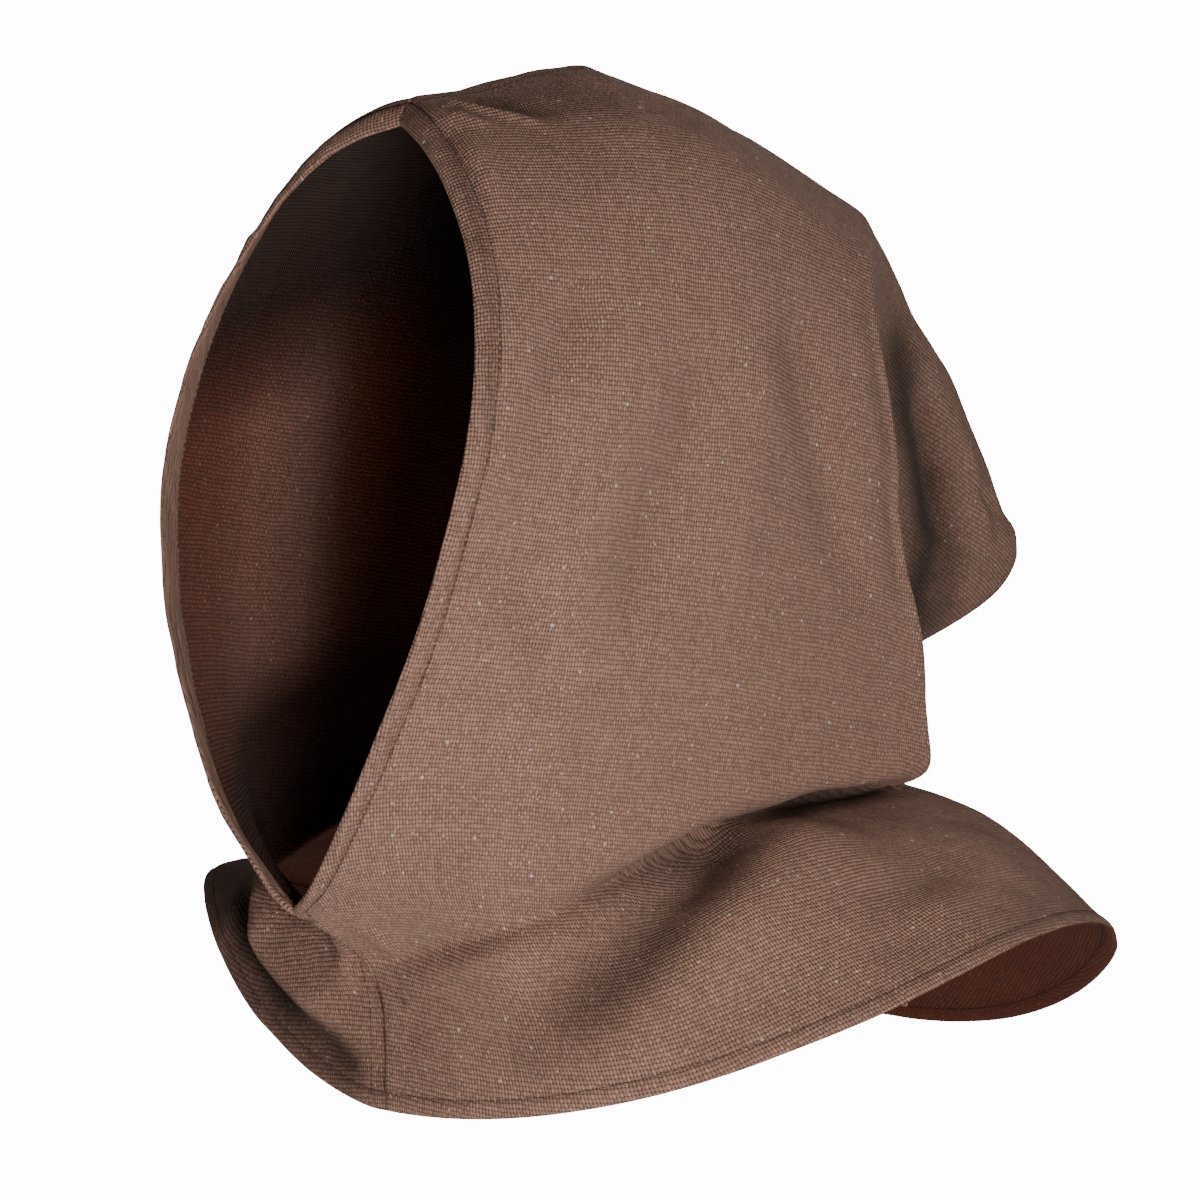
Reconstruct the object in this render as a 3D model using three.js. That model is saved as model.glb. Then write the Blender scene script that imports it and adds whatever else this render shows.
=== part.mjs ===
import * as THREE from "three";

// Canvas hood with a long soft point and a short shoulder cape, in its worn form.
// Millimetres, +Z up, the face looks toward -Y, the wearer's left is +X.
// The origin is the top of the crown's inside, where the head sits.

// Cloth thicknesses and widths
const CLOTH = 1.8;
const FOLDED_CLOTH = 3;
const RAISED = 0.6;
const GAP = 0.3;
const FACE_HEM_WIDTH = 11;
const CAPE_HEM_WIDTH = 8;
const SEAM_HALF_WIDTH = 4;
const TIP_FOLD = 3;
const TIP_GAP = 0.4;
const MITRE_LENGTH = 12;

// Clearances at mitres, in steps of the control rows and columns
const TIP_CLEARANCE = 0.06;
const MITRE_CLEARANCE = 0.02;
const SHORTEST_STEP = 0.15;

// The tables give the outside of the cloth; this lift puts the crown's inside at the origin.
const SEAT_LIFT = 0.8;

// Edge of the face opening and the throat seam below it.
// out is the distance from the middle plane, lift the swell of the hem band.
const faceLine = [
  { row: "ridge", out: 0, back: -86, up: -21, lift: 8 },
  { row: "crown", out: 33, back: -97, up: -35, lift: 8.5 },
  { row: "brow", out: 71, back: -109.5, up: -72, lift: 4 },
  { row: "temple", out: 93.5, back: -127, up: -124, lift: 1.2 },
  { row: "ear", out: 92, back: -140, up: -178, lift: 0.5 },
  { row: "cheek", out: 74, back: -147.5, up: -233, lift: 0.5 },
  { row: "jaw", out: 41, back: -150.5, up: -292, lift: 0.5 },
  { row: "overChin", out: 14, back: -147.5, up: -326, lift: 0.5 },
  { row: "chin", out: 0, back: -143, up: -336, lift: 0.5 },
  { row: "underChin", out: 0, back: -136, up: -340.5, lift: 0.2 },
  { row: "neck", out: 0, back: -110, up: -357, lift: 0 },
];

// Swell beside the face opening
const cheekLine = [
  { row: "ridge", out: 0, back: -46, up: -7 },
  { row: "crown", out: 40, back: -58, up: -19 },
  { row: "brow", out: 80, back: -70, up: -58 },
  { row: "temple", out: 99, back: -78, up: -112 },
  { row: "ear", out: 103, back: -84, up: -163 },
  { row: "cheek", out: 102, back: -88, up: -213 },
  { row: "jaw", out: 97, back: -96, up: -262 },
  { row: "overChin", out: 92, back: -102, up: -284 },
  { row: "chin", out: 89, back: -104, up: -298 },
  { row: "underChin", out: 86, back: -104, up: -311 },
  { row: "neck", out: 80, back: -102, up: -331 },
];

// Front third of the side
const flankLine = [
  { row: "ridge", out: 0, back: -8, up: 2 },
  { row: "crown", out: 42, back: -14, up: -10 },
  { row: "brow", out: 80, back: -22, up: -46 },
  { row: "temple", out: 100, back: -30, up: -100 },
  { row: "ear", out: 104, back: -36, up: -153 },
  { row: "cheek", out: 105.5, back: -40, up: -203 },
  { row: "jaw", out: 105, back: -44, up: -250 },
  { row: "overChin", out: 103, back: -46, up: -270 },
  { row: "chin", out: 102, back: -48, up: -284 },
  { row: "underChin", out: 101, back: -50, up: -297 },
  { row: "neck", out: 99, back: -50, up: -314 },
];

// Middle of the side
const sideLine = [
  { row: "ridge", out: 0, back: 27, up: 1 },
  { row: "crown", out: 42, back: 36, up: -12 },
  { row: "brow", out: 79, back: 28, up: -42 },
  { row: "temple", out: 98, back: 22, up: -92 },
  { row: "ear", out: 103, back: 19, up: -145 },
  { row: "cheek", out: 105, back: 17, up: -196 },
  { row: "jaw", out: 105, back: 15, up: -240 },
  { row: "overChin", out: 104, back: 14, up: -258 },
  { row: "chin", out: 103, back: 14, up: -270 },
  { row: "underChin", out: 102, back: 14, up: -282 },
  { row: "neck", out: 101, back: 14, up: -298 },
];

// Upright crease where the side turns across the back of the head
const creaseLine = [
  { row: "ridge", out: 0, back: 181, up: -62 },
  { row: "crown", out: 35, back: 145, up: -60 },
  { row: "brow", out: 68, back: 120, up: -76 },
  { row: "temple", out: 80.5, back: 110.5, up: -107 },
  { row: "ear", out: 88.5, back: 115, up: -150 },
  { row: "cheek", out: 91, back: 120, up: -200 },
  { row: "jaw", out: 93, back: 123.5, up: -243 },
  { row: "overChin", out: 94, back: 123.5, up: -256 },
  { row: "chin", out: 95, back: 124, up: -268 },
  { row: "underChin", out: 96.5, back: 124.5, up: -281 },
  { row: "neck", out: 99.5, back: 125.5, up: -297 },
];

// Root of the long point
const rootLine = [
  { row: "ridge", out: 0, back: 215, up: -112 },
  { row: "crown", out: 21, back: 186, up: -98 },
  { row: "brow", out: 28, back: 165, up: -114 },
  { row: "temple", out: 29, back: 154, up: -142 },
  { row: "ear", out: 28, back: 148, up: -177 },
  { row: "cheek", out: 26, back: 145, up: -213 },
  { row: "jaw", out: 22, back: 142, up: -243 },
  { row: "overChin", out: 21, back: 140, up: -256 },
  { row: "chin", out: 20, back: 138, up: -267 },
  { row: "underChin", out: 22, back: 136, up: -279 },
  { row: "neck", out: 28, back: 134, up: -293 },
];

// Middle seam from the tip of the point, along its underside and down the nape
const napeLine = [
  { row: "ridge", out: 0, back: 282, up: -217 },
  { row: "crown", out: 0, back: 284, up: -225 },
  { row: "brow", out: 0, back: 273, up: -238 },
  { row: "temple", out: 0, back: 255, up: -247 },
  { row: "ear", out: 0, back: 235, up: -254 },
  { row: "cheek", out: 0, back: 211, up: -261 },
  { row: "jaw", out: 0, back: 182, up: -266 },
  { row: "overChin", out: 0, back: 166, up: -269 },
  { row: "chin", out: 0, back: 153, up: -272 },
  { row: "underChin", out: 0, back: 144, up: -281 },
  { row: "neck", out: 0, back: 137, up: -295 },
];

// Rounded edge of the flat point
const point = {
  edgeHalfWidth: 8,
  edgeInset: 7,
  ridgeSwell: 3.5,
  ridgeRimLift: 2,
  narrowFirstRow: 0.75,
  roundFrom: 10,
  roundUntil: 35,
  lastRow: 7,
};

// Soft fold at the neck, where the head's bag sits down on the cape
const neckFold = {
  inset: 22,
  drop: 6,
  roll: 3,
  rollDrop: 11.5,
  throatInset: 4,
  throatPull: 9,
};

// Cape hem seen from above: a flattened oval
const capeOval = {
  halfWidth: 207,
  halfDepth: 189,
  centreBack: 56,
  frontFlatness: 0.09,
  frontUp: -418,
  backUp: -441,
};

// Rise of the cape hem over each shoulder.
// crest is the angle from the front at which the hem is highest.
const shoulder = {
  left: { crest: 90, up: -342, frontPower: 1.45, backPower: 2.1 },
  right: { crest: 64, up: -357, frontPower: 2.8, backPower: 0.85 },
};

// Rows of the cape: share of the way from the neck to the hem
const capeRows = [
  { row: "valley", down: 0.22 },
  { row: "middle", down: 0.6 },
  { row: "hem", down: 1 },
];
const CAPE_SAG = 0.65;

// Angle from the front of each upright line where it meets the hem
const hemAngles = [0, 4, 14, 27, 42, 58, 72, 86, 99, 110, 120, 130, 143, 156, 165, 174, 180];

// The cape is dragged round the neck, wearer's left to back, more toward the hem.
const twist = { centreBack: 40, atRow: [0, 0.5, 1, 2, 4.5, 6.5, 8], firstRow: 9 };

const CHIN_ROW = 8;
const NECK_ROW = 10;

// Columns between the lines above: share of the way from one line to the next
const share = {
  half: 0.5,
  beforeCrease: 0.88,
  afterCrease: 0.12,
  underPoint: 0.6,
  ridgeRim: 0.07,
  napeRim: 0.35,
};

// Small helpers
const clamp01 = (x) => Math.min(1, Math.max(0, x));
const radians = (degrees) => (degrees * Math.PI) / 180;
const mix = (a, b, t) => new THREE.Vector3().lerpVectors(a, b, t);

function ease(from, to, x) {
  const t = clamp01((x - from) / (to - from));
  return t * t * (3 - 2 * t);
}

function pointOf(entry) {
  return new THREE.Vector3(entry.out, entry.back, entry.up);
}

// One row of control points across the head, from the face edge to the middle back
function headRow(i) {
  const face = pointOf(faceLine[i]);
  const cheek = pointOf(cheekLine[i]);
  const flank = pointOf(flankLine[i]);
  const side = pointOf(sideLine[i]);
  const crease = pointOf(creaseLine[i]);
  const root = pointOf(rootLine[i]);
  const nape = pointOf(napeLine[i]);

  const swell = new THREE.Vector3(1, 0, 0);
  if (i === 0) swell.set(0, -0.35, 1);
  if (i === 1) swell.set(0.5, -0.2, 0.84);
  const run = cheek.clone().sub(face).normalize();
  const lift = swell.addScaledVector(run, -swell.dot(run)).normalize();
  const hemLine = face
    .clone()
    .addScaledVector(run, FACE_HEM_WIDTH)
    .addScaledVector(lift, faceLine[i].lift);

  let rim;
  let mid;
  if (i === 0) {
    rim = mix(nape, root, share.ridgeRim);
    rim.add(new THREE.Vector3(0, point.ridgeRimLift, point.ridgeRimLift));
    mid = mix(root, rim, share.half);
    mid.add(new THREE.Vector3(0, point.ridgeSwell, point.ridgeSwell * 0.7));
  } else if (i <= point.lastRow) {
    const inward = root.clone().sub(nape).setX(0);
    const reach = inward.length();
    const full = clamp01((reach - point.roundFrom) / (point.roundUntil - point.roundFrom));
    const narrow = i === 1 ? point.narrowFirstRow : 1;
    const half = point.edgeHalfWidth * full * narrow + (1 - full) * root.x * share.napeRim;
    rim = nape.clone().addScaledVector(inward.normalize(), point.edgeInset).setX(half);
    mid = mix(root, rim, share.half);
  } else {
    rim = mix(nape, root, share.napeRim);
    mid = mix(root, rim, share.half);
  }

  return [
    face,
    hemLine,
    mix(hemLine, cheek, share.half),
    cheek,
    mix(cheek, flank, share.half),
    flank,
    mix(flank, side, share.half),
    side,
    mix(side, crease, share.half),
    mix(side, crease, share.beforeCrease),
    crease,
    mix(crease, root, share.afterCrease),
    mix(crease, root, share.underPoint),
    root,
    mid,
    rim,
    nape,
  ];
}

// A point of the cape hem before the cape is turned
function hemPoint(degrees, rise) {
  const angle = radians(degrees);
  const ahead = Math.cos(angle);
  const flat = ahead > 0 ? 1 - capeOval.frontFlatness * ahead * ahead : 1;
  const warped =
    degrees < rise.crest
      ? (degrees * 90) / rise.crest
      : 90 + ((degrees - rise.crest) * 90) / (180 - rise.crest);
  const lean = Math.cos(radians(warped));
  const end = lean > 0 ? capeOval.frontUp : capeOval.backUp;
  const power = lean > 0 ? rise.frontPower : rise.backPower;
  return new THREE.Vector3(
    capeOval.halfWidth * Math.sin(angle),
    capeOval.centreBack - capeOval.halfDepth * ahead * flat,
    rise.up + (end - rise.up) * Math.abs(lean) ** power,
  );
}

// Two rows that make the fold under the neck line: its inner bend and the roll below it
function neckFoldRows(lip) {
  const last = lip.length - 1;
  const bend = [];
  const roll = [];
  lip.forEach((p, j) => {
    const before = lip[Math.max(0, j - 1)];
    const after = lip[Math.min(last, j + 1)];
    const outward = new THREE.Vector3(after.y - before.y, before.x - after.x, 0).normalize();
    if (j === 0) outward.set(0, -1, 0);
    if (j === last) outward.set(0, 1, 0);
    const depth = ease(2.5, 7.5, j);
    const throat = 1 - ease(0, 3.5, j);
    const inset = neckFold.inset * depth + neckFold.throatInset * throat;
    const b = p.clone().addScaledVector(outward, -inset);
    b.z -= neckFold.drop + (1 - depth);
    bend.push(b);
    const out = neckFold.roll - neckFold.throatPull * (1 - ease(0, 2.5, j));
    const r = p.clone().addScaledVector(outward, out);
    r.z -= neckFold.rollDrop + 2 * (1 - depth);
    roll.push(r);
  });
  return [bend, roll];
}

// All control rows of one half, ridge to hem
function controlRows(rise) {
  const rows = faceLine.map((_, i) => headRow(i));
  const [bend, roll] = neckFoldRows(rows[NECK_ROW]);
  rows.push(bend, roll);
  for (const { down } of capeRows) {
    rows.push(
      roll.map((p, j) => {
        const hem = hemPoint(hemAngles[j], rise);
        const power = 1 + CAPE_SAG * ease(3, 8, j);
        const q = mix(p, hem, down);
        q.z = p.z + (hem.z - p.z) * down ** power;
        return q;
      }),
    );
  }
  return rows;
}

// Moves the inner points of a run so that the smooth curve passes near them
function sharpen(list) {
  return list.map((p, i) => {
    if (i === 0 || i === list.length - 1) return p.clone();
    return p
      .clone()
      .multiplyScalar(4 / 3)
      .addScaledVector(list[i - 1], -1 / 6)
      .addScaledVector(list[i + 1], -1 / 6);
  });
}

// Adds one point beyond each end so that the smooth curve starts and ends on the run
function extend(list) {
  const n = list.length;
  const first = list[0].clone().multiplyScalar(2).sub(list[1]);
  const last = list[n - 1].clone().multiplyScalar(2).sub(list[n - 2]);
  return [first, ...list, last];
}

function transpose(rows) {
  return rows[0].map((_, j) => rows.map((row) => row[j]));
}

function controlNet(rise) {
  let rows = controlRows(rise);
  rows = transpose(transpose(rows).map(sharpen));
  rows = rows.map((row, i) => (i > NECK_ROW + 1 ? sharpen(row) : row));
  rows = transpose(transpose(rows).map(extend));
  return rows.map(extend);
}

const halves = {
  left: { net: controlNet(shoulder.left), mirror: 1 },
  right: { net: controlNet(shoulder.right), mirror: -1 },
};
const LAST_ROW = halves.left.net.length - 3;
const LAST_COLUMN = halves.left.net[0].length - 3;

// Cubic weights and slopes at t on a run of count points
function cubic(t, lastIndex) {
  const i = Math.min(Math.max(Math.floor(t), 0), lastIndex - 1);
  const f = t - i;
  const g = 1 - f;
  return {
    i,
    weight: [g ** 3, 3 * f ** 3 - 6 * f * f + 4, -3 * f ** 3 + 3 * f * f + 3 * f + 1, f ** 3].map(
      (w) => w / 6,
    ),
    slope: [-g * g, 3 * f * f - 4 * f, -3 * f * f + 2 * f + 1, f * f].map((w) => w / 2),
  };
}

function turnAt(u) {
  const t = u - twist.firstRow;
  if (t <= 0) return 0;
  const i = Math.min(Math.floor(t), twist.atRow.length - 2);
  const degrees = twist.atRow[i] + (twist.atRow[i + 1] - twist.atRow[i]) * (t - i);
  return radians(degrees);
}

function turned(p, u) {
  const a = turnAt(u);
  const y = p.y - twist.centreBack;
  return new THREE.Vector3(
    p.x * Math.cos(a) - y * Math.sin(a),
    p.x * Math.sin(a) + y * Math.cos(a) + twist.centreBack,
    p.z,
  );
}

// Outer face of one half at row u and column v: place and outward direction, before the turn
function faceAt(half, u, v) {
  const a = cubic(u, LAST_ROW);
  const b = cubic(v, LAST_COLUMN);
  const p = new THREE.Vector3();
  const down = new THREE.Vector3();
  const back = new THREE.Vector3();
  for (let i = 0; i < 4; i++) {
    for (let j = 0; j < 4; j++) {
      const c = half.net[a.i + i][b.i + j];
      p.addScaledVector(c, a.weight[i] * b.weight[j]);
      down.addScaledVector(c, a.slope[i] * b.weight[j]);
      back.addScaledVector(c, a.weight[i] * b.slope[j]);
    }
  }
  const n = down.cross(back).normalize();
  p.x *= half.mirror;
  p.z += SEAT_LIFT;
  n.x *= half.mirror;
  return { p, n };
}

// The same, moved outward by a distance and turned with the cape
function shell(half, u, v, outward) {
  const { p, n } = faceAt(half, u, v);
  return turned(p.addScaledVector(n, outward), u);
}

// Walks from a border over the cloth until the path is as long as the distance
function walk(half, place, limit, distance) {
  const step = 0.04;
  let travelled = 0;
  let before = faceAt(half, ...place(0)).p;
  for (let t = step; t <= limit; t += step) {
    const here = faceAt(half, ...place(t)).p;
    const length = here.distanceTo(before);
    if (travelled + length >= distance) return t - step + (step * (distance - travelled)) / length;
    travelled += length;
    before = here;
  }
  return limit;
}

const fromFace = (half, u, d) => walk(half, (t) => [u, t], LAST_COLUMN / 2, d);
const fromNape = (half, u, d) =>
  LAST_COLUMN - walk(half, (t) => [u, LAST_COLUMN - t], LAST_COLUMN / 2, d);
const fromRidge = (half, v, d) => walk(half, (t) => [t, v], LAST_ROW / 2, d);
const fromHem = (half, v, d) => LAST_ROW - walk(half, (t) => [LAST_ROW - t, v], LAST_ROW / 2, d);

// Row where the face hem's mitre ends on the throat seam
const MITRE_ROW =
  CHIN_ROW + walk(halves.left, (t) => [CHIN_ROW + t, 0], LAST_ROW - CHIN_ROW, MITRE_LENGTH);

// Half width of the middle seam on the crown at column v and on the back at row u.
// It widens round the tip of the point, where the cloth is folded in.
const crownTip = (v) => ease(LAST_COLUMN - 1.6, LAST_COLUMN - 0.4, v);
const backTip = (u) => 1 - ease(0.2, 1.8, u);
const crownSeamHalf = (v) => SEAM_HALF_WIDTH + TIP_FOLD * crownTip(v);
const backSeamHalf = (u) => SEAM_HALF_WIDTH + TIP_FOLD * backTip(u);

// Width of what lies in front of the panel at row u: the face hem, then half the throat seam
function frontWidth(u) {
  const t = clamp01((u - (CHIN_ROW - 0.8)) / (MITRE_ROW - (CHIN_ROW - 0.8)));
  return FACE_HEM_WIDTH + (SEAM_HALF_WIDTH - FACE_HEM_WIDTH) * t;
}

// A sheet of cloth with an outer and an inner grid of points, closed round its border
function sheetGeometry(outer, inner, isRing) {
  const rows = outer.length;
  const columns = outer[0].length;
  const points = [...outer.flat(), ...inner.flat()];
  const at = (layer, i, j) => layer * rows * columns + (i % rows) * columns + j;
  const triangles = [];
  const quad = (a, b, c, d) => triangles.push(a, b, c, a, c, d);
  const spans = isRing ? rows : rows - 1;
  for (let i = 0; i < spans; i++) {
    for (let j = 0; j < columns - 1; j++) {
      quad(at(0, i, j), at(0, i + 1, j), at(0, i + 1, j + 1), at(0, i, j + 1));
      quad(at(1, i, j), at(1, i, j + 1), at(1, i + 1, j + 1), at(1, i + 1, j));
    }
    quad(at(0, i + 1, 0), at(0, i, 0), at(1, i, 0), at(1, i + 1, 0));
    const k = columns - 1;
    quad(at(0, i, k), at(0, i + 1, k), at(1, i + 1, k), at(1, i, k));
  }
  if (!isRing) {
    for (let j = 0; j < columns - 1; j++) {
      quad(at(0, 0, j), at(0, 0, j + 1), at(1, 0, j + 1), at(1, 0, j));
      const k = rows - 1;
      quad(at(0, k, j + 1), at(0, k, j), at(1, k, j), at(1, k, j + 1));
    }
  }
  let volume = 0;
  for (let t = 0; t < triangles.length; t += 3) {
    const [a, b, c] = [0, 1, 2].map((k) => points[triangles[t + k]]);
    volume += a.dot(b.clone().cross(c));
  }
  if (volume < 0) triangles.reverse();
  const geometry = new THREE.BufferGeometry();
  geometry.setAttribute(
    "position",
    new THREE.Float32BufferAttribute(points.flatMap((p) => [p.x, p.y, p.z]), 3),
  );
  geometry.setIndex(triangles);
  geometry.computeVertexNormals();
  return geometry;
}

// Row and column of each grid point of a panel, clear of the hems and seams round it
const ROW_STEPS = LAST_ROW * 2;
const COLUMN_STEPS = LAST_COLUMN * 2;
function panelPlaces(half) {
  const places = [];
  for (let i = 0; i <= ROW_STEPS; i++) {
    const row = [];
    for (let j = 0; j <= COLUMN_STEPS; j++) {
      const r = i / ROW_STEPS;
      const c = j / COLUMN_STEPS;
      let u = r * LAST_ROW;
      let v = c * LAST_COLUMN;
      for (let pass = 0; pass < 4; pass++) {
        const front = fromFace(half, u, frontWidth(u) + GAP);
        const nape = backSeamHalf(u) + GAP + TIP_GAP * backTip(u);
        v = front + (fromNape(half, u, nape) - front) * c;
        const top = fromRidge(half, v, crownSeamHalf(v) + GAP + TIP_GAP * crownTip(v));
        u = top + (fromHem(half, v, CAPE_HEM_WIDTH + GAP) - top) * r;
      }
      row.push([u, v]);
    }
    places.push(row);
  }
  return places;
}
for (const half of Object.values(halves)) half.places = panelPlaces(half);

// Each half is one piece of cloth. Its solids part at the folds, half a gap to either side.
// The steps of the grid where they part: the turn of the crown, the upright crease,
// the root of the point, above the neck bend and at the middle of the shoulder.
const CROWN_TURN = 5;
const CREASE = 20;
const ROOT = 26;
const NECK = 20;
const SHOULDER = 16;
const panels = [
  { name: "crown", rows: [0, CROWN_TURN], columns: [0, CREASE] },
  { name: "side", rows: [CROWN_TURN, NECK], columns: [0, CREASE] },
  { name: "nape", rows: [0, NECK], columns: [CREASE, ROOT] },
  { name: "point", rows: [0, NECK], columns: [ROOT, COLUMN_STEPS] },
  { name: "front_cape", rows: [NECK, ROW_STEPS], columns: [0, SHOULDER] },
  { name: "back_cape", rows: [NECK, ROW_STEPS], columns: [SHOULDER, COLUMN_STEPS] },
];

// The place half a gap from one place toward another
function halfGap(half, from, to) {
  const share = GAP / 2 / shell(half, ...from, 0).distanceTo(shell(half, ...to, 0));
  return from.map((a, k) => a + (to[k] - a) * share);
}

// A grid of places whose first and last rows are set back by half a gap where asked
function setBack(half, places, isFirstCut, isLastCut) {
  const rows = places.slice();
  const last = rows.length - 1;
  if (isFirstCut) rows[0] = rows[0].map((place, k) => halfGap(half, place, rows[1][k]));
  if (isLastCut) rows[last] = rows[last].map((place, k) => halfGap(half, place, rows[last - 1][k]));
  return rows;
}

function panelGeometry(half, { rows, columns }) {
  const whole = half.places.slice(rows[0], rows[1] + 1);
  const part = whole.map((row) => row.slice(columns[0], columns[1] + 1));
  const cutAcross = setBack(half, part, rows[0] > 0, rows[1] < ROW_STEPS);
  const cutDown = setBack(half, transpose(cutAcross), columns[0] > 0, columns[1] < COLUMN_STEPS);
  const places = transpose(cutDown);
  const layer = (outward) => places.map((row) => row.map(([u, v]) => shell(half, u, v, outward)));
  return sheetGeometry(layer(0), layer(-CLOTH), false);
}

// Cross-section of a hem: share of its width from the fold, and how full it is there
const hemSection = [
  { across: 0, full: 0.4 },
  { across: 0.13, full: 0.95 },
  { across: 0.55, full: 1 },
  { across: 1, full: 0.85 },
];

// One cut across a hem, from its folded edge to its sewn edge
function hemCut(half, fold, sewn, isMiddle) {
  const cut = { outer: [], inner: [] };
  for (const { across, full } of hemSection) {
    const u = fold[0] + (sewn[0] - fold[0]) * across;
    const v = fold[1] + (sewn[1] - fold[1]) * across;
    const { p, n } = faceAt(half, u, v);
    if (isMiddle) {
      p.x = 0;
      n.setX(0).normalize();
    }
    const centre = RAISED - FOLDED_CLOTH / 2;
    const reach = (FOLDED_CLOTH / 2) * full;
    cut.outer.push(turned(p.clone().addScaledVector(n, centre + reach), u));
    cut.inner.push(turned(p.clone().addScaledVector(n, centre - reach), u));
  }
  return cut;
}

// A hem that runs down or along the left half and back over the right half
function ringGeometry(cutsOf) {
  const left = cutsOf(halves.left);
  const right = cutsOf(halves.right).slice(1, -1).reverse();
  const cuts = [...left, ...right];
  return sheetGeometry(
    cuts.map((cut) => cut.outer),
    cuts.map((cut) => cut.inner),
    true,
  );
}

function faceHemGeometry() {
  return ringGeometry((half) => {
    const rows = half.places.map((row) => row[0][0]).filter((u) => u < MITRE_ROW - SHORTEST_STEP);
    rows.push(MITRE_ROW - MITRE_CLEARANCE);
    const along = rows.map((u) => {
      const fold = [(u * CHIN_ROW) / MITRE_ROW, 0];
      return hemCut(half, fold, [u, fromFace(half, u, frontWidth(u))], false);
    });
    const top = hemCut(half, [0, 0], [0, fromFace(half, 0, FACE_HEM_WIDTH)], true);
    const mitre = hemCut(half, [CHIN_ROW, 0], [MITRE_ROW, 0], true);
    return [top, ...along, mitre];
  });
}

function capeHemGeometry() {
  return ringGeometry((half) => {
    const cutAt = (v, isMiddle) =>
      hemCut(half, [LAST_ROW, v], [fromHem(half, v, CAPE_HEM_WIDTH), v], isMiddle);
    const along = half.places[ROW_STEPS].map(([, v]) => cutAt(v, false));
    return [cutAt(0, true), ...along, cutAt(LAST_COLUMN, true)];
  });
}

// A narrow seam band: a border on each half and a middle line between them
function seamGeometry(places) {
  const outer = [];
  const inner = [];
  const middles = places.map(({ middle }) => faceAt(halves.left, ...middle).p.setX(0));
  places.forEach(({ border, middle }, k) => {
    const before = middles[Math.max(0, k - 1)];
    const after = middles[Math.min(middles.length - 1, k + 1)];
    const nearTip = middle[0] < 1 && middle[1] > LAST_COLUMN - 1;
    const n = nearTip
      ? new THREE.Vector3(0, before.z - after.z, after.y - before.y)
      : faceAt(halves.left, ...middle).n.setX(0);
    n.normalize();
    const low = RAISED - FOLDED_CLOTH;
    const ends = [halves.left, halves.right].map((half) => {
      const [u, v] = border(half);
      return [RAISED, low].map((d) => shell(half, u, v, d));
    });
    const centre = [RAISED, low].map((d) =>
      turned(middles[k].clone().addScaledVector(n, d), middle[0]),
    );
    outer.push([ends[0][0], centre[0], ends[1][0]]);
    inner.push([ends[0][1], centre[1], ends[1][1]]);
  });
  return sheetGeometry(outer, inner, false);
}

// Where the borders of the crown seam and of the back seam meet at the tip
function tipCorner(half) {
  let u = 0.5;
  let v = LAST_COLUMN - 0.5;
  for (let pass = 0; pass < 6; pass++) {
    v = fromNape(half, u, backSeamHalf(u));
    u = fromRidge(half, v, crownSeamHalf(v));
  }
  return [u, v];
}

// The mitre of the two seams, half a gap to either side of the tip
function tipCut(side) {
  return {
    middle: side < 0 ? [0, LAST_COLUMN - TIP_CLEARANCE] : [TIP_CLEARANCE, LAST_COLUMN],
    border: (half) => {
      const [u, v] = tipCorner(half);
      return side < 0 ? [u, v - TIP_CLEARANCE] : [u + TIP_CLEARANCE, v];
    },
  };
}

function crownSeamGeometry() {
  const start = fromFace(halves.left, 0, FACE_HEM_WIDTH + GAP);
  const places = [];
  for (let j = 0; j < COLUMN_STEPS; j++) {
    places.push({
      middle: [0, start + ((LAST_COLUMN - start) * j) / COLUMN_STEPS],
      border: (half) => {
        const v = half.places[0][j][1];
        return [fromRidge(half, v, crownSeamHalf(v)), v];
      },
    });
  }
  places.push(tipCut(-1));
  return seamGeometry(places);
}

function backSeamGeometry() {
  const end = fromHem(halves.left, LAST_COLUMN, CAPE_HEM_WIDTH + GAP);
  const places = [tipCut(1)];
  for (let i = 1; i <= ROW_STEPS; i++) {
    places.push({
      middle: [(end * i) / ROW_STEPS, LAST_COLUMN],
      border: (half) => {
        const u = half.places[i][COLUMN_STEPS][0];
        return [u, fromNape(half, u, backSeamHalf(u))];
      },
    });
  }
  return seamGeometry(places);
}

function throatSeamGeometry() {
  const start =
    MITRE_ROW + walk(halves.left, (t) => [MITRE_ROW + t, 0], LAST_ROW - MITRE_ROW, GAP);
  const borderAt = (u) => (half) => [u, fromFace(half, u, SEAM_HALF_WIDTH)];
  const places = [{ middle: [start, 0], border: borderAt(start + MITRE_CLEARANCE) }];
  halves.left.places.forEach((row, i) => {
    const u = row[0][0];
    if (u < start + SHORTEST_STEP) return;
    places.push({
      middle: [u, 0],
      border: (half) => borderAt(half.places[i][0][0])(half),
    });
  });
  return seamGeometry(places);
}

// Materials
const canvas = { roughness: 0.92, metalness: 0 };
const panelCloth = new THREE.MeshStandardMaterial({ color: 0x7d6153, ...canvas });
const hemCloth = new THREE.MeshStandardMaterial({ color: 0x735848, ...canvas });
const seamCloth = new THREE.MeshStandardMaterial({ color: 0x6a5043, ...canvas });

const group = new THREE.Group();
function add(name, geometry, material) {
  const mesh = new THREE.Mesh(geometry, material);
  mesh.name = name;
  group.add(mesh);
}

for (const [side, half] of Object.entries(halves)) {
  for (const panel of panels) {
    add(`${side}_${panel.name}`, panelGeometry(half, panel), panelCloth);
  }
}
add("face_hem", faceHemGeometry(), hemCloth);
add("cape_hem", capeHemGeometry(), hemCloth);
add("throat_seam", throatSeamGeometry(), seamCloth);
add("crown_seam", crownSeamGeometry(), seamCloth);
add("back_seam", backSeamGeometry(), seamCloth);

export default group;
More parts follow.
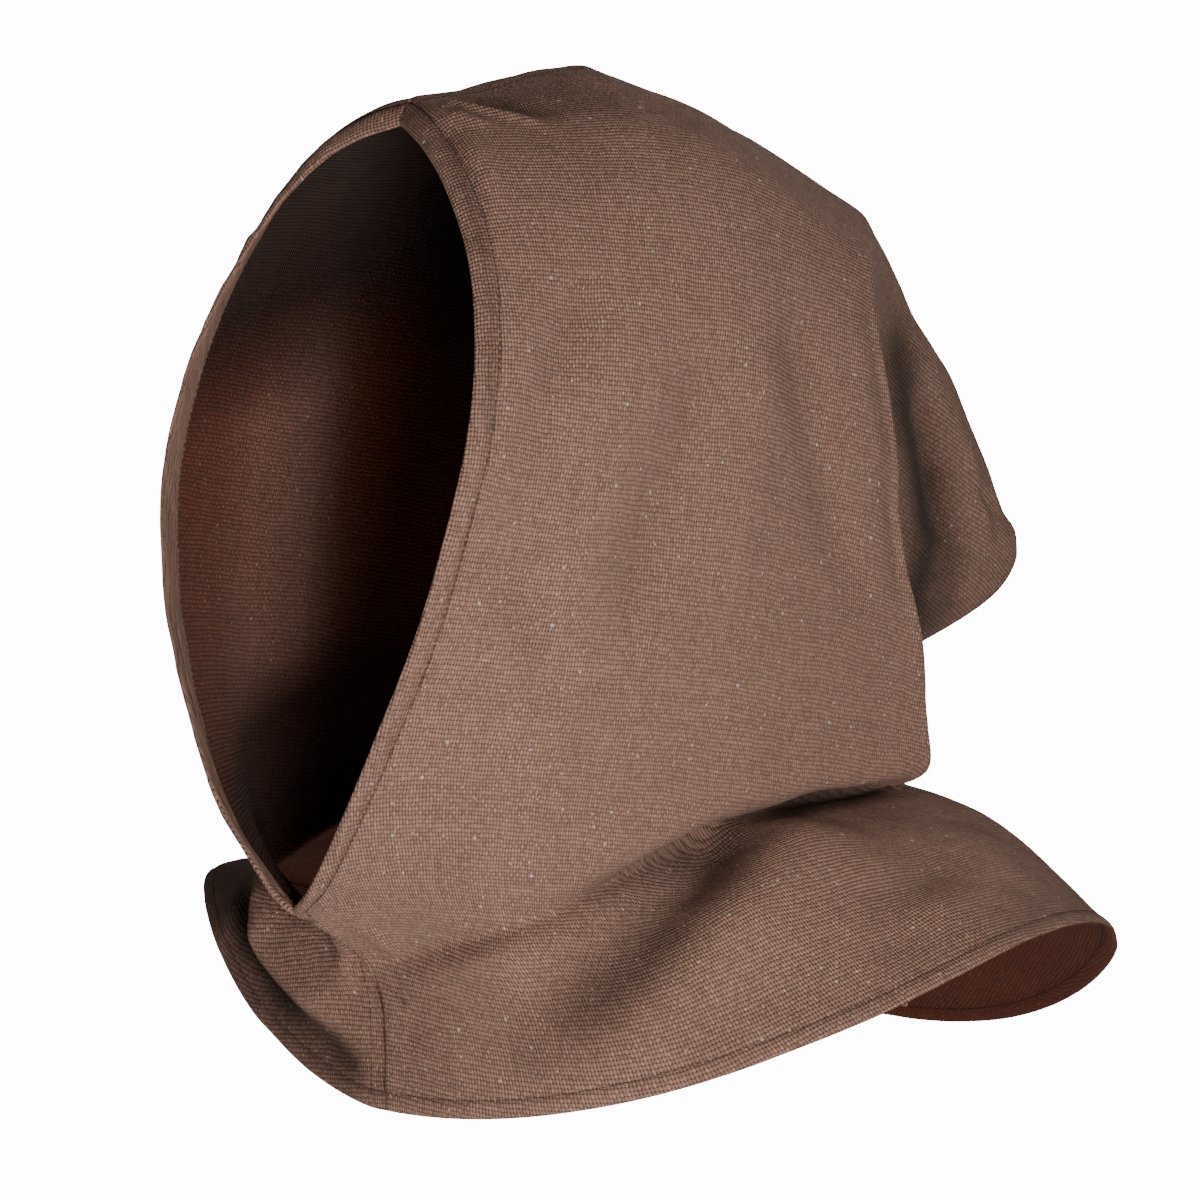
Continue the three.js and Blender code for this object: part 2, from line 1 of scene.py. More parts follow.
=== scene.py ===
import bpy
import math
import numpy as np
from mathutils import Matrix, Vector


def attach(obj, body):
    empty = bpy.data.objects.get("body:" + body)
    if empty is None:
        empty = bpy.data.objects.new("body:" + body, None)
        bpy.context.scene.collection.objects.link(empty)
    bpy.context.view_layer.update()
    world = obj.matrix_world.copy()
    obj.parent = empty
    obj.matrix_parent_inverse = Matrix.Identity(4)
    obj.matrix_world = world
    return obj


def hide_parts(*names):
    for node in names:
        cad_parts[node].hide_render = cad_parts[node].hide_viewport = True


# Canvas hood in its worn form. Tables are in millimetres, objects in metres.
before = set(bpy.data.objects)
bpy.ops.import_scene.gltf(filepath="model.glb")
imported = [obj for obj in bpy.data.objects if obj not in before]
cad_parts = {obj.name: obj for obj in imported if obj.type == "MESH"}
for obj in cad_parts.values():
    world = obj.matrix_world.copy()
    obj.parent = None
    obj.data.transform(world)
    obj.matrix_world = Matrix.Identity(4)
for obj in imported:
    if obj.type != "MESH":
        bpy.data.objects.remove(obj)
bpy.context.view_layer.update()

view = {
    "azimuth": 48,
    "elevation": 7,
    "distance": 1.8,
    "target": (0, 0.023, -0.222),
    "lens": 127,
    "sensor": 36,
}


def direction(azimuth, elevation):
    a, e = math.radians(azimuth), math.radians(elevation)
    return Vector((math.sin(a) * math.cos(e), -math.cos(a) * math.cos(e), math.sin(e)))


def lookAt(thing, target):
    run = Vector(target) - thing.location
    thing.rotation_euler = run.to_track_quat("-Z", "Y").to_euler()


def makeCamera():
    bpy.ops.object.camera_add()
    camera = bpy.context.object
    camera.name = "camera"
    away = direction(view["azimuth"], view["elevation"])
    camera.location = Vector(view["target"]) + away * view["distance"]
    lookAt(camera, view["target"])
    camera.data.lens = view["lens"]
    camera.data.sensor_width = view["sensor"]
    camera.data.sensor_fit = "HORIZONTAL"
    camera.data.dof.use_dof = False
    bpy.context.scene.camera = camera


makeCamera()
print("camera set")

# Lines of one half from the front to the middle back, each from the ridge down to the neck:
# out from the middle plane, back, up
form = {
    "face": [
        (0, -86, -21), (33, -97, -35), (71, -109.5, -72), (93.5, -127, -124),
        (92, -140, -178), (74, -147.5, -233), (41, -150.5, -292), (14, -147.5, -326),
        (0, -143, -336), (0, -136, -340.5), (0, -110, -357),
    ],
    "cheek": [
        (0, -46, -7), (40, -58, -19), (80, -70, -58), (99, -78, -112),
        (103, -84, -163), (102, -88, -213), (97, -96, -262), (92, -102, -284),
        (89, -104, -298), (86, -104, -311), (80, -102, -331),
    ],
    "flank": [
        (0, -8, 2), (42, -14, -10), (80, -22, -46), (100, -30, -100),
        (104, -36, -153), (105.5, -40, -203), (105, -44, -250), (103, -46, -270),
        (102, -48, -284), (101, -50, -297), (99, -50, -314),
    ],
    "side": [
        (0, 27, 1), (42, 36, -12), (79, 28, -42), (98, 22, -92),
        (103, 19, -145), (105, 17, -196), (105, 15, -240), (104, 14, -258),
        (103, 14, -270), (102, 14, -282), (101, 14, -298),
    ],
    "crease": [
        (0, 181, -62), (35, 145, -60), (68, 120, -76), (80.5, 110.5, -107),
        (88.5, 115, -150), (91, 120, -200), (93, 123.5, -243), (94, 123.5, -256),
        (95, 124, -268), (96.5, 124.5, -281), (99.5, 125.5, -297),
    ],
    "root": [
        (0, 215, -112), (21, 186, -98), (28, 165, -114), (29, 154, -142),
        (28, 148, -177), (26, 145, -213), (22, 142, -243), (21, 140, -256),
        (20, 138, -267), (22, 136, -279), (28, 134, -293),
    ],
    "nape": [
        (0, 282, -217), (0, 284, -225), (0, 273, -238), (0, 255, -247),
        (0, 235, -254), (0, 211, -261), (0, 182, -266), (0, 166, -269),
        (0, 153, -272), (0, 144, -281), (0, 137, -295),
    ],
    "hemLift": [8, 8.5, 4, 1.2, 0.5, 0.5, 0.5, 0.5, 0.5, 0.2, 0],
    "hemSwell": {0: (0, -0.35, 1), 1: (0.5, -0.2, 0.84)},
    "seatLift": 0.8,
}
# Edge of the point; past lastRow the rim line runs on down the back of the head
point = {
    "edgeHalfWidth": 8,
    "edgeInset": 7,
    "closedShare": 0.35,
    "ridgeSwell": (0, 3.5, 2.45),
    "ridgeRimLift": (0, 2, 2),
    "ridgeRimShare": 0.07,
    "narrowFirstRow": 0.75,
    "roundFrom": 10,
    "roundUntil": 35,
    "lastRow": 7,
    "rimShareBelow": 0.35,
}
# Columns just before and after the crease and further past it, as shares of the way between lines
creaseShares = (0.88, 0.12, 0.6)
neckFold = {
    "inset": 22,
    "drop": 6,
    "roll": 3,
    "rollDrop": 11.5,
    "throatInset": 4,
    "throatInsetUntil": 3.5,
    "throatPull": 9,
    "throatPullUntil": 2.5,
    "deepFrom": 2.5,
    "deepFull": 7.5,
}
cape = {
    "halfWidth": 207,
    "halfDepth": 189,
    "centreBack": 56,
    "frontFlatness": 0.09,
    "frontUp": -418,
    "backUp": -441,
    "rows": [0.22, 0.6, 1],
    "sag": 0.65,
    "sagColumns": (3, 8),
    "angles": [0, 4, 14, 27, 42, 58, 72, 86, 99, 110, 120, 130, 143, 156, 165, 174, 180],
    "left": {"crest": 90, "up": -342, "frontPower": 1.45, "backPower": 2.1},
    "right": {"crest": 64, "up": -357, "frontPower": 2.8, "backPower": 0.85},
    "turnAxis": 40,
    "turn": [0] * 10 + [0.5, 1, 2, 4.5, 6.5, 8],
}
cloth = {
    "thick": 1.3,
    "faceHem": 11,
    "capeHem": 8,
    "seamHalf": 4,
    "tipFold": 3,
    "tipFoldColumns": (1.6, 0.4),
    "tipFoldRows": (0.2, 1.8),
    "chinRow": 8,
    "neckRow": 10,
    "mitre": 12,
    "narrowing": 0.8,
}


def clamp01(x):
    return np.clip(x, 0, 1)


def ease(start, end, x):
    t = clamp01((x - start) / (end - start))
    return t * t * (3 - 2 * t)


def mix(a, b, t):
    return a + (b - a) * t


def unit(vectors):
    return vectors / np.maximum(np.linalg.norm(vectors, axis=-1, keepdims=True), 1e-9)


def runLength(line):
    return np.concatenate([[0], np.cumsum(np.linalg.norm(np.diff(line, axis=0), axis=1))])


def grid(rows, columns):
    return np.arange(rows * columns).reshape(rows, columns)


def quads(index):
    return np.stack([index[:-1, :-1], index[1:, :-1], index[1:, 1:], index[:-1, 1:]], -1).reshape(-1, 4)


def newObject(name, points, faces):
    mesh = bpy.data.meshes.new(name)
    mesh.from_pydata((points / 1000).tolist(), [], faces)
    thing = bpy.data.objects.new(name, mesh)
    bpy.context.collection.objects.link(thing)
    return thing


def headRow(i):
    lines = ("face", "cheek", "flank", "side", "crease", "root", "nape")
    face, cheek, flank, side, crease, root, nape = [np.array(form[k][i], float) for k in lines]
    swell = np.array(form["hemSwell"].get(i, (1, 0, 0)), float)
    run = unit(cheek - face)
    lift = unit(swell - run * (swell @ run))
    hemLine = face + run * cloth["faceHem"] + lift * form["hemLift"][i]
    if i == 0:
        rim = mix(nape, root, point["ridgeRimShare"]) + np.array(point["ridgeRimLift"])
    elif i <= point["lastRow"]:
        inward = (root - nape) * np.array((0, 1, 1))
        span = point["roundUntil"] - point["roundFrom"]
        full = clamp01((np.linalg.norm(inward) - point["roundFrom"]) / span)
        narrow = point["narrowFirstRow"] if i == 1 else 1
        rim = nape + unit(inward) * point["edgeInset"]
        rim[0] = point["edgeHalfWidth"] * full * narrow + (1 - full) * root[0] * point["closedShare"]
    else:
        rim = mix(nape, root, point["rimShareBelow"])
    mid = mix(root, rim, 0.5)
    if i == 0:
        mid += np.array(point["ridgeSwell"])
    before, after, pastIt = creaseShares
    return [
        face, hemLine, mix(hemLine, cheek, 0.5), cheek, mix(cheek, flank, 0.5), flank,
        mix(flank, side, 0.5), side, mix(side, crease, 0.5), mix(side, crease, before), crease,
        mix(crease, root, after), mix(crease, root, pastIt), root, mid, rim, nape,
    ]


def hemPoint(degrees, rise):
    a = math.radians(degrees)
    ahead = math.cos(a)
    flat = 1 - cape["frontFlatness"] * ahead * ahead if ahead > 0 else 1
    crest = rise["crest"]
    warped = degrees * 90 / crest if degrees < crest else 90 + (degrees - crest) * 90 / (180 - crest)
    lean = math.cos(math.radians(warped))
    if lean > 0:
        end, power = cape["frontUp"], rise["frontPower"]
    else:
        end, power = cape["backUp"], rise["backPower"]
    return np.array((
        cape["halfWidth"] * math.sin(a),
        cape["centreBack"] - cape["halfDepth"] * ahead * flat,
        rise["up"] + (end - rise["up"]) * abs(lean) ** power,
    ))


def controlRows(rise):
    rows = [headRow(i) for i in range(11)]
    lip = rows[-1]
    last = len(lip) - 1
    bend, roll = [], []
    for j, p in enumerate(lip):
        run = lip[min(last, j + 1)] - lip[max(0, j - 1)]
        outward = unit(np.array((run[1], -run[0], 0.0)))
        if j == 0:
            outward = np.array((0.0, -1, 0))
        if j == last:
            outward = np.array((0.0, 1, 0))
        depth = ease(neckFold["deepFrom"], neckFold["deepFull"], j)
        throat = neckFold["throatInset"] * (1 - ease(0, neckFold["throatInsetUntil"], j))
        inset = neckFold["inset"] * depth + throat
        bend.append(p - outward * inset - np.array((0, 0, neckFold["drop"] + 1 - depth)))
        out = neckFold["roll"] - neckFold["throatPull"] * (1 - ease(0, neckFold["throatPullUntil"], j))
        roll.append(p + outward * out - np.array((0, 0, neckFold["rollDrop"] + 2 * (1 - depth))))
    rows += [bend, roll]
    for down in cape["rows"]:
        row = []
        for j, p in enumerate(roll):
            hem = hemPoint(cape["angles"][j], rise)
            q = mix(p, hem, down)
            q[2] = p[2] + (hem[2] - p[2]) * down ** (1 + cape["sag"] * ease(*cape["sagColumns"], j))
            row.append(q)
        rows.append(row)
    return np.array(rows)


def sharpen(net):
    # moves the rows so that the spline passes close to where they were
    out = net.copy()
    out[1:-1] = net[1:-1] * 4 / 3 - (net[:-2] + net[2:]) / 6
    return out


def extend(net):
    # adds a row beyond each end, so that the spline reaches the border
    return np.concatenate([2 * net[:1] - net[1:2], net, 2 * net[-1:] - net[-2:-1]])


def controlNet(rise):
    net = sharpen(controlRows(rise))
    below = cloth["neckRow"] + 2
    net[below:] = sharpen(net[below:].swapaxes(0, 1)).swapaxes(0, 1)
    return extend(extend(net).swapaxes(0, 1)).swapaxes(0, 1)


halves = {
    "left": {"name": "left", "net": controlNet(cape["left"]), "mirror": 1},
    "right": {"name": "right", "net": controlNet(cape["right"]), "mirror": -1},
}
lastRow = halves["left"]["net"].shape[0] - 3
lastColumn = halves["left"]["net"].shape[1] - 3


def cubic(t, last):
    i = np.clip(np.floor(t).astype(int), 0, last - 1)
    f = t - i
    g = 1 - f
    weight = np.stack([g**3, 3 * f**3 - 6 * f**2 + 4, -3 * f**3 + 3 * f**2 + 3 * f + 1, f**3], -1) / 6
    slope = np.stack([-g * g, 3 * f * f - 4 * f, -3 * f * f + 2 * f + 1, f * f], -1) / 2
    return i, weight, slope


def smoothAt(half, u, v):
    # place and outward direction of the smooth cloth at row u and column v, before the cape's turn
    u, v = np.broadcast_arrays(np.asarray(u, float), np.asarray(v, float))
    i, wu, du = cubic(u, lastRow)
    j, wv, dv = cubic(v, lastColumn)
    p, down, back = (np.zeros(u.shape + (3,)) for _ in range(3))
    for a in range(4):
        for b in range(4):
            c = half["net"][i + a, j + b]
            p += c * (wu[..., a] * wv[..., b])[..., None]
            down += c * (du[..., a] * wv[..., b])[..., None]
            back += c * (wu[..., a] * dv[..., b])[..., None]
    n = unit(np.cross(down, back))
    p[..., 0] *= half["mirror"]
    n[..., 0] *= half["mirror"]
    p[..., 2] += form["seatLift"]
    return p, n


def turnAngle(u):
    return np.radians(np.interp(u, np.arange(lastRow + 1), cape["turn"]))


def turned(p, u):
    a = turnAngle(u)
    x, y = p[..., 0], p[..., 1] - cape["turnAxis"]
    across = x * np.cos(a) - y * np.sin(a)
    back = x * np.sin(a) + y * np.cos(a) + cape["turnAxis"]
    return np.stack([across, back, p[..., 2]], -1)


def walk(half, start, step, limit, distance):
    # how far along step, in rows or columns, a walk over the cloth from start is as long as distance
    t = np.linspace(0, limit, 90)
    p, _ = smoothAt(half, start[0] + step[0] * t, start[1] + step[1] * t)
    return np.interp(distance, runLength(p), t)


def fromFace(half, u, d):
    return walk(half, (u, 0), (0, 1), lastColumn / 2, d)


def fromNape(half, u, d):
    return lastColumn - walk(half, (u, lastColumn), (0, -1), lastColumn / 2, d)


def fromRidge(half, v, d):
    return walk(half, (0, v), (1, 0), lastRow / 2, d)


def fromHem(half, v, d):
    return lastRow - walk(half, (lastRow, v), (-1, 0), lastRow / 2, d)


belowChin = lastRow - cloth["chinRow"]
mitreRow = cloth["chinRow"] + walk(halves["left"], (cloth["chinRow"], 0), (1, 0), belowChin, cloth["mitre"])


def crownSeamHalf(v):
    start, end = cloth["tipFoldColumns"]
    return cloth["seamHalf"] + cloth["tipFold"] * ease(lastColumn - start, lastColumn - end, v)


def backSeamHalf(u):
    return cloth["seamHalf"] + cloth["tipFold"] * (1 - ease(*cloth["tipFoldRows"], u))


def frontWidth(u):
    # the face hem narrows to the throat seam over the mitre
    start = cloth["chinRow"] - cloth["narrowing"]
    t = clamp01((u - start) / (mitreRow - start))
    return mix(cloth["faceHem"], cloth["seamHalf"], t)


def measureBorders(half):
    # where the panel ends beside each hem and seam, for every row and column
    half["rows"] = np.linspace(0, lastRow, 20 * lastRow + 1)
    half["columns"] = np.linspace(0, lastColumn, 20 * lastColumn + 1)
    half["front"] = np.array([fromFace(half, u, frontWidth(u)) for u in half["rows"]])
    half["nape"] = np.array([fromNape(half, u, backSeamHalf(u)) for u in half["rows"]])
    half["ridge"] = np.array([fromRidge(half, v, crownSeamHalf(v)) for v in half["columns"]])
    half["hem"] = np.array([fromHem(half, v, cloth["capeHem"]) for v in half["columns"]])


def borderAt(half, border, place):
    lines = "rows" if border in ("front", "nape") else "columns"
    return np.interp(place, half[lines], half[border])


def panelPlaces(half, r, c):
    # rows and columns of the panel's points; r and c are shares of the way between its borders
    u, v = np.broadcast_arrays(r * lastRow, c * lastColumn)
    for _ in range(6):
        front = borderAt(half, "front", u)
        nape = borderAt(half, "nape", u)
        v = front + (nape - front) * c
        ridge = borderAt(half, "ridge", v)
        hem = borderAt(half, "hem", v)
        u = ridge + (hem - ridge) * r
    return u, v


for half in halves.values():
    measureBorders(half)
print("smooth form laid out")

# Flattening: each half is unwrapped, so that the threads run straight over its cut.
# The weft's run is set at one row and column, where it falls by some degrees toward the back.
grain = {"row": 4.5, "column": 7, "fall": 12, "step": 0.25, "rounds": 40}


def openInEdit(thing):
    bpy.ops.object.select_all(action="DESELECT")
    thing.select_set(True)
    bpy.context.view_layer.objects.active = thing
    bpy.ops.object.mode_set(mode="EDIT")
    bpy.ops.mesh.select_all(action="SELECT")


def totalLength(net):
    return sum(np.linalg.norm(np.diff(net, axis=k), axis=-1).sum() for k in (0, 1))


def unwrapped(p):
    index = grid(*p.shape[:2])
    sheet = newObject("flat", p.reshape(-1, 3), quads(index).tolist())
    mesh = sheet.data
    mesh.uv_layers.new(name="weave")
    openInEdit(sheet)
    bpy.ops.uv.unwrap(method="ANGLE_BASED", margin=0)
    bpy.ops.uv.unwrap(method="MINIMUM_STRETCH", margin=0, iterations=grain["rounds"])
    bpy.ops.object.mode_set(mode="OBJECT")
    flat = np.zeros((index.size, 2))
    values = np.zeros(len(mesh.loops) * 2)
    corners = np.zeros(len(mesh.loops), int)
    mesh.uv_layers["weave"].data.foreach_get("uv", values)
    mesh.loops.foreach_get("vertex_index", corners)
    flat[corners] = values.reshape(-1, 2)
    bpy.data.objects.remove(sheet)
    flat = flat.reshape(*index.shape, 2)
    return flat * (totalLength(p) / totalLength(flat))


def weftAngle(p, flat):
    i, j = int(grain["row"] / grain["step"]), int(grain["column"] / grain["step"])
    fall = math.radians(grain["fall"])
    weft = np.array((0, math.cos(fall), -math.sin(fall)))
    sides = np.stack([p[i + 1, j] - p[i, j], p[i, j + 1] - p[i, j]], 1)
    share = np.linalg.lstsq(sides, weft, rcond=None)[0]
    run = share[0] * (flat[i + 1, j] - flat[i, j]) + share[1] * (flat[i, j + 1] - flat[i, j])
    return math.atan2(run[1], run[0])


def flatten(half):
    rows = np.arange(0, lastRow + 0.01, grain["step"])
    columns = np.arange(0, lastColumn + 0.01, grain["step"])
    p, _ = smoothAt(half, *np.meshgrid(rows, columns, indexing="ij"))
    flat = unwrapped(p)
    # turned so that the weft lies along the first coordinate
    a = weftAngle(p, flat)
    flat = flat @ np.array([[math.cos(a), -math.sin(a)], [math.sin(a), math.cos(a)]])
    half["flat"] = flat - flat.reshape(-1, 2).min(0)
    half["cut"] = half["flat"].reshape(-1, 2).max(0) / 1000
    d1, d2 = flat[1:, 1:] - flat[:-1, :-1], flat[:-1, 1:] - flat[1:, :-1]
    half["area"] = abs(d1[..., 0] * d2[..., 1] - d1[..., 1] * d2[..., 0]).sum() / 2e6
    print("cut", half["name"], half["cut"].round(3), "area", round(half["area"], 3))


def flatAt(half, u, v):
    # place on the flat cut in millimetres
    flat = half["flat"]
    n, m, _ = flat.shape
    x, y = np.clip(u / grain["step"], 0, n - 1.001), np.clip(v / grain["step"], 0, m - 1.001)
    i, j = x.astype(int), y.astype(int)
    f, g = (x - i)[..., None], (y - j)[..., None]
    top = flat[i, j] * (1 - g) + flat[i, j + 1] * g
    low = flat[i + 1, j] * (1 - g) + flat[i + 1, j + 1] * g
    return top * (1 - f) + low * f


for half in halves.values():
    flatten(half)
print("cloth flattened")


# Folds
def fold(push, width, path, sharp=0, fade=(0.3, 0.3)):
    # a path of (row, column), pushed out or in and spreading over some millimetres; sharp is its
    # share of a pinched ridge, and it fades over a share of the path at its start and end
    return {"push": push, "width": width, "path": path, "sharp": sharp, "fade": fade}


folds = {
    "left": [
        # crown
        fold(2.6, 3.5, [(0.35, 1.4), (0.63, 2), (0.85, 2.65), (1.07, 3.3),
              (1.28, 3.9)], sharp=0.5, fade=(0.1, 0.4)),
        fold(-2.6, 7, [(0.35, 1.9), (0.48, 2.5), (0.62, 3), (0.85, 3.6), (1.1, 4.2)], fade=(0.2, 0.4)),
        fold(1.6, 4, [(0.6, 1.3), (0.85, 1.8), (1.1, 2.4)], sharp=0.2, fade=(0.2, 0.5)),
        fold(2, 15, [(0.35, 4.6), (0.4, 5.4), (0.5, 6.1)]),
        fold(-2.2, 12, [(0.7, 6.6), (1.1, 6.5), (1.5, 6.6)]),
        # beside the face hem
        fold(-3, 4.5, [(0.6, 0.85), (0.9, 0.8), (1.2, 0.8), (1.5, 0.85),
              (1.8, 0.85)], sharp=0.4, fade=(0.2, 0.5)),
        fold(1.8, 6, [(0.95, 1.2), (1.35, 1.35), (1.8, 1.3)], fade=(0.3, 0.5)),
        # side
        fold(-3.4, 10, [(2.3, 3.6), (2.65, 3.15), (2.95, 2.68), (3.23, 2.22), (3.6, 1.8)]),
        fold(2.4, 12, [(2.2, 1.8), (2.68, 1.5), (3.5, 1.2), (4.1, 1.1)]),
        fold(2.6, 18, [(2.5, 4.7), (3.4, 4), (4.3, 3.5), (5.2, 3.6)]),
        fold(-5.2, 14, [(3.2, 6.3), (3.53, 5.68), (3.93, 5.27), (4.57, 4.82), (5.3, 4.38),
              (5.9, 4.1)], fade=(0.2, 0.4)),
        fold(3.4, 14, [(2.9, 6.9), (3.72, 6.92), (4.73, 6.53), (5.6, 6.2)], fade=(0.25, 0.3)),
        fold(-4.6, 13, [(2.8, 7.5), (3.4, 7.65), (3.97, 7.75), (4.83, 8.02), (5.7, 8.4)], fade=(0.2, 0.3)),
        fold(-3, 11, [(4, 1.9), (4.5, 2.13), (5.02, 2.53), (5.43, 2.93), (6, 3.4)]),
        fold(2, 12, [(2.6, 8.7), (3.6, 8.8), (4.6, 8.9)]),
        fold(1.2, 7, [(5.6, 1.6), (6.2, 2.5), (7.2, 3.3)], sharp=0.3),
        # crease at the back of the head
        fold(2.6, 4, [(2.2, 9.7), (2.93, 9.8), (3.7, 9.9), (4.57, 9.9), (5.45, 9.85), (6.1, 10), (8.4, 9.95),
              (9.8, 9.95)], sharp=0.4, fade=(0.15, 0.1)),
        fold(-2.6, 9, [(4.3, 9.5), (4.9, 9.6), (5.5, 9.5)]),
        fold(-3.6, 15, [(2, 9.9), (3, 10), (4.5, 10), (6.5, 10)], fade=(0.2, 0.4)),
        fold(-4, 8, [(2.2, 11.1), (3, 11.3), (4, 11.3), (5.5, 11.3), (7, 11.2)], fade=(0.2, 0.2)),
        # point
        fold(-7, 11, [(1.6, 13.3), (2, 13.6), (2.5, 14), (3.1, 14.5), (3.8, 14.9)], fade=(0.25, 0.3)),
        fold(3.4, 6, [(0.9, 13.9), (1.4, 14.2), (1.8, 14.6), (2.3, 15)], sharp=0.3, fade=(0.3, 0.25)),
        fold(-4, 4, [(1.9, 14.1), (1.3, 14.6), (0.8, 14.9), (0.5, 15.2)], sharp=0.5, fade=(0.3, 0.2)),
        fold(3, 5, [(3.9, 14), (3.2, 14.3), (2.6, 14.8), (2, 15.3)], sharp=0.2),
        fold(-3.4, 5, [(4.4, 14.3), (3.6, 14.7), (2.9, 15.2)], sharp=0.2),
        # cape
        fold(-9, 14, [(11.35, 7), (11.6, 6.4), (11.93, 5.83), (12.37, 4.98), (12.83, 4.2), (13.2, 3.53),
              (13.55, 3), (13.9, 2.57)], fade=(0.12, 0.3)),
        fold(1.5, 9, [(11.4, 5.2), (11.8, 4.2), (12.2, 3.3)], fade=(0.3, 0.4)),
        fold(6, 16, [(12, 7.7), (12.6, 7.1), (13.1, 6), (13.42, 5.1), (13.8, 4.3)], fade=(0.25, 0.35)),
        fold(-4.4, 12, [(13.3, 7.8), (13.85, 7.3), (13.95, 6.63), (14.3, 6.25), (14.55, 5.6)]),
        fold(3, 14, [(13.2, 8.8), (13.8, 8.3), (14.4, 7.7)]),
        fold(-4.5, 8, [(10.3, 7.4), (10.5, 8), (10.6, 8.8), (10.5, 9.6)]),
        # throat
        fold(2.4, 6, [(9.3, 1), (10, 1.05), (11, 1.2)], fade=(0.2, 0.4)),
        fold(-1.4, 8, [(12.6, 0.9), (13.2, 1), (13.9, 1.1)], fade=(0.3, 0.4)),
    ],
    "right": [
        # cape
        fold(12, 20, [(14.9, 4.4), (14.9, 5.6), (14.9, 6.8), (14.9, 8), (14.9, 9)], fade=(0.4, 0.3)),
        # throat
        fold(4.5, 8, [(9.8, 0.9), (10.6, 1), (11.6, 1.1), (12.9, 1.1)], fade=(0.2, 0.4)),
        fold(5, 9, [(12.2, 2.9), (12.8, 2.8), (13.3, 2.6), (13.6, 2.1), (13.9, 1.5)], fade=(0.2, 0.3)),
        fold(-8, 8, [(13.4, 4.2), (13.9, 3.6), (14, 3.1), (14.1, 2.7), (14.2, 2.05), (14.3, 1.4),
              (14.4, 0.8)], sharp=0.3, fade=(0.1, 0.25)),
        # the wearer's right
        fold(-4, 24, [(2.6, 3.2), (3.6, 3.4), (4.8, 3.7), (6, 4)]),
        fold(2.6, 18, [(3, 5), (4.2, 5.2), (5.6, 5.2)]),
        fold(-4, 22, [(2.8, 6.6), (4, 6.7), (5.5, 6.5)]),
        fold(2.2, 4, [(2.4, 9.8), (3.6, 9.9), (5, 9.9), (7, 10), (9.6, 10)], sharp=0.4, fade=(0.2, 0.1)),
        fold(-6, 12, [(1.7, 13.4), (2.3, 13.9), (3.2, 14.4)]),
        fold(3, 6, [(3.6, 14), (2.9, 14.5), (2.2, 15.1)], sharp=0.2),
        fold(-6, 16, [(12, 7.2), (12.6, 6), (13, 4.8)]),
        fold(4.5, 18, [(12.4, 10.5), (13.2, 11), (14, 11.6)]),
    ],
}
pinch = 1.2  # steepness of a pinched ridge
heldNearMiddle = (1, 18)  # millimetres from the middle plane over which folds come in
ripple = {
    "broad": {"cell": 52, "push": 1.5, "seed": 3},
    "small": {"cell": 17, "push": 0.45, "seed": 5},
}
# Bumps astride the crown seam, the same on both halves
crests = [
    {"column": 0.9, "push": 1.2, "columns": 0.5, "rows": 0.6},
    {"column": 6.1, "push": 1.5, "columns": 0.45, "rows": 0.8},
    {"column": 6.75, "push": -1.2, "columns": 0.35, "rows": 0.8},
    {"column": 12.9, "push": -1.6, "columns": 0.35, "rows": 1},
    {"column": 13.55, "push": 2, "columns": 0.35, "rows": 1},
    {"column": 14.9, "push": -1.4, "columns": 0.3, "rows": 0.8},
    {"column": 15.35, "push": 1.6, "columns": 0.25, "rows": 0.8},
]


def softNoise(s, t, cell, seed):
    lattice = np.random.default_rng(seed).uniform(-1, 1, (64, 64))
    x, y = s / cell, t / cell
    i, j = np.floor(x).astype(int), np.floor(y).astype(int)
    f, g = ease(0, 1, x - i), ease(0, 1, y - j)
    low = mix(lattice[i % 64, j % 64], lattice[(i + 1) % 64, j % 64], f)
    high = mix(lattice[i % 64, (j + 1) % 64], lattice[(i + 1) % 64, (j + 1) % 64], f)
    return mix(low, high, g)


def nearPath(half, flat, path):
    # distance from a path over the flat cut in millimetres, and share of the way along it
    path = np.array(path, float)
    line = flatAt(half, path[:, 0], path[:, 1])
    lengths = np.linalg.norm(np.diff(line, axis=0), axis=1)
    best = np.full(flat.shape[:-1], 1e9)
    along = np.zeros(flat.shape[:-1])
    start = 0
    for a, b, length in zip(line[:-1], line[1:], lengths):
        run = (b - a) / length
        q = flat - a
        x = np.clip(q @ run, 0, length)
        d = np.linalg.norm(q - x[..., None] * run, axis=-1)
        near = d < best
        best = np.where(near, d, best)
        along = np.where(near, (start + x) / lengths.sum(), along)
        start += length
    return best, along


def foldPush(half, u, v):
    flat = flatAt(half, u, v)
    push = np.zeros(flat.shape[:-1])
    for kind in ripple.values():
        seed = kind["seed"] + (0 if half["name"] == "left" else 40)
        push += kind["push"] * softNoise(flat[..., 0], flat[..., 1], kind["cell"], seed)
    for one in folds[half["name"]]:
        best, along = nearPath(half, flat, one["path"])
        shape = np.exp(-((best / one["width"]) ** 2)) * (1 - one["sharp"])
        shape += np.exp(-best / one["width"] * pinch) * one["sharp"]
        fadeIn, fadeOut = one["fade"]
        shape *= ease(0, fadeIn, along) * ease(0, fadeOut, 1 - along)
        push += one["push"] * shape
    return push


def shadeAndMarks(dark, width, path, fade=0.2):
    # a path along which the cloth is painted darker: painted shade where light seldom reaches it, and at one
    # place a small dark mark on the cloth
    return {"dark": dark, "width": width, "path": path, "fade": fade}


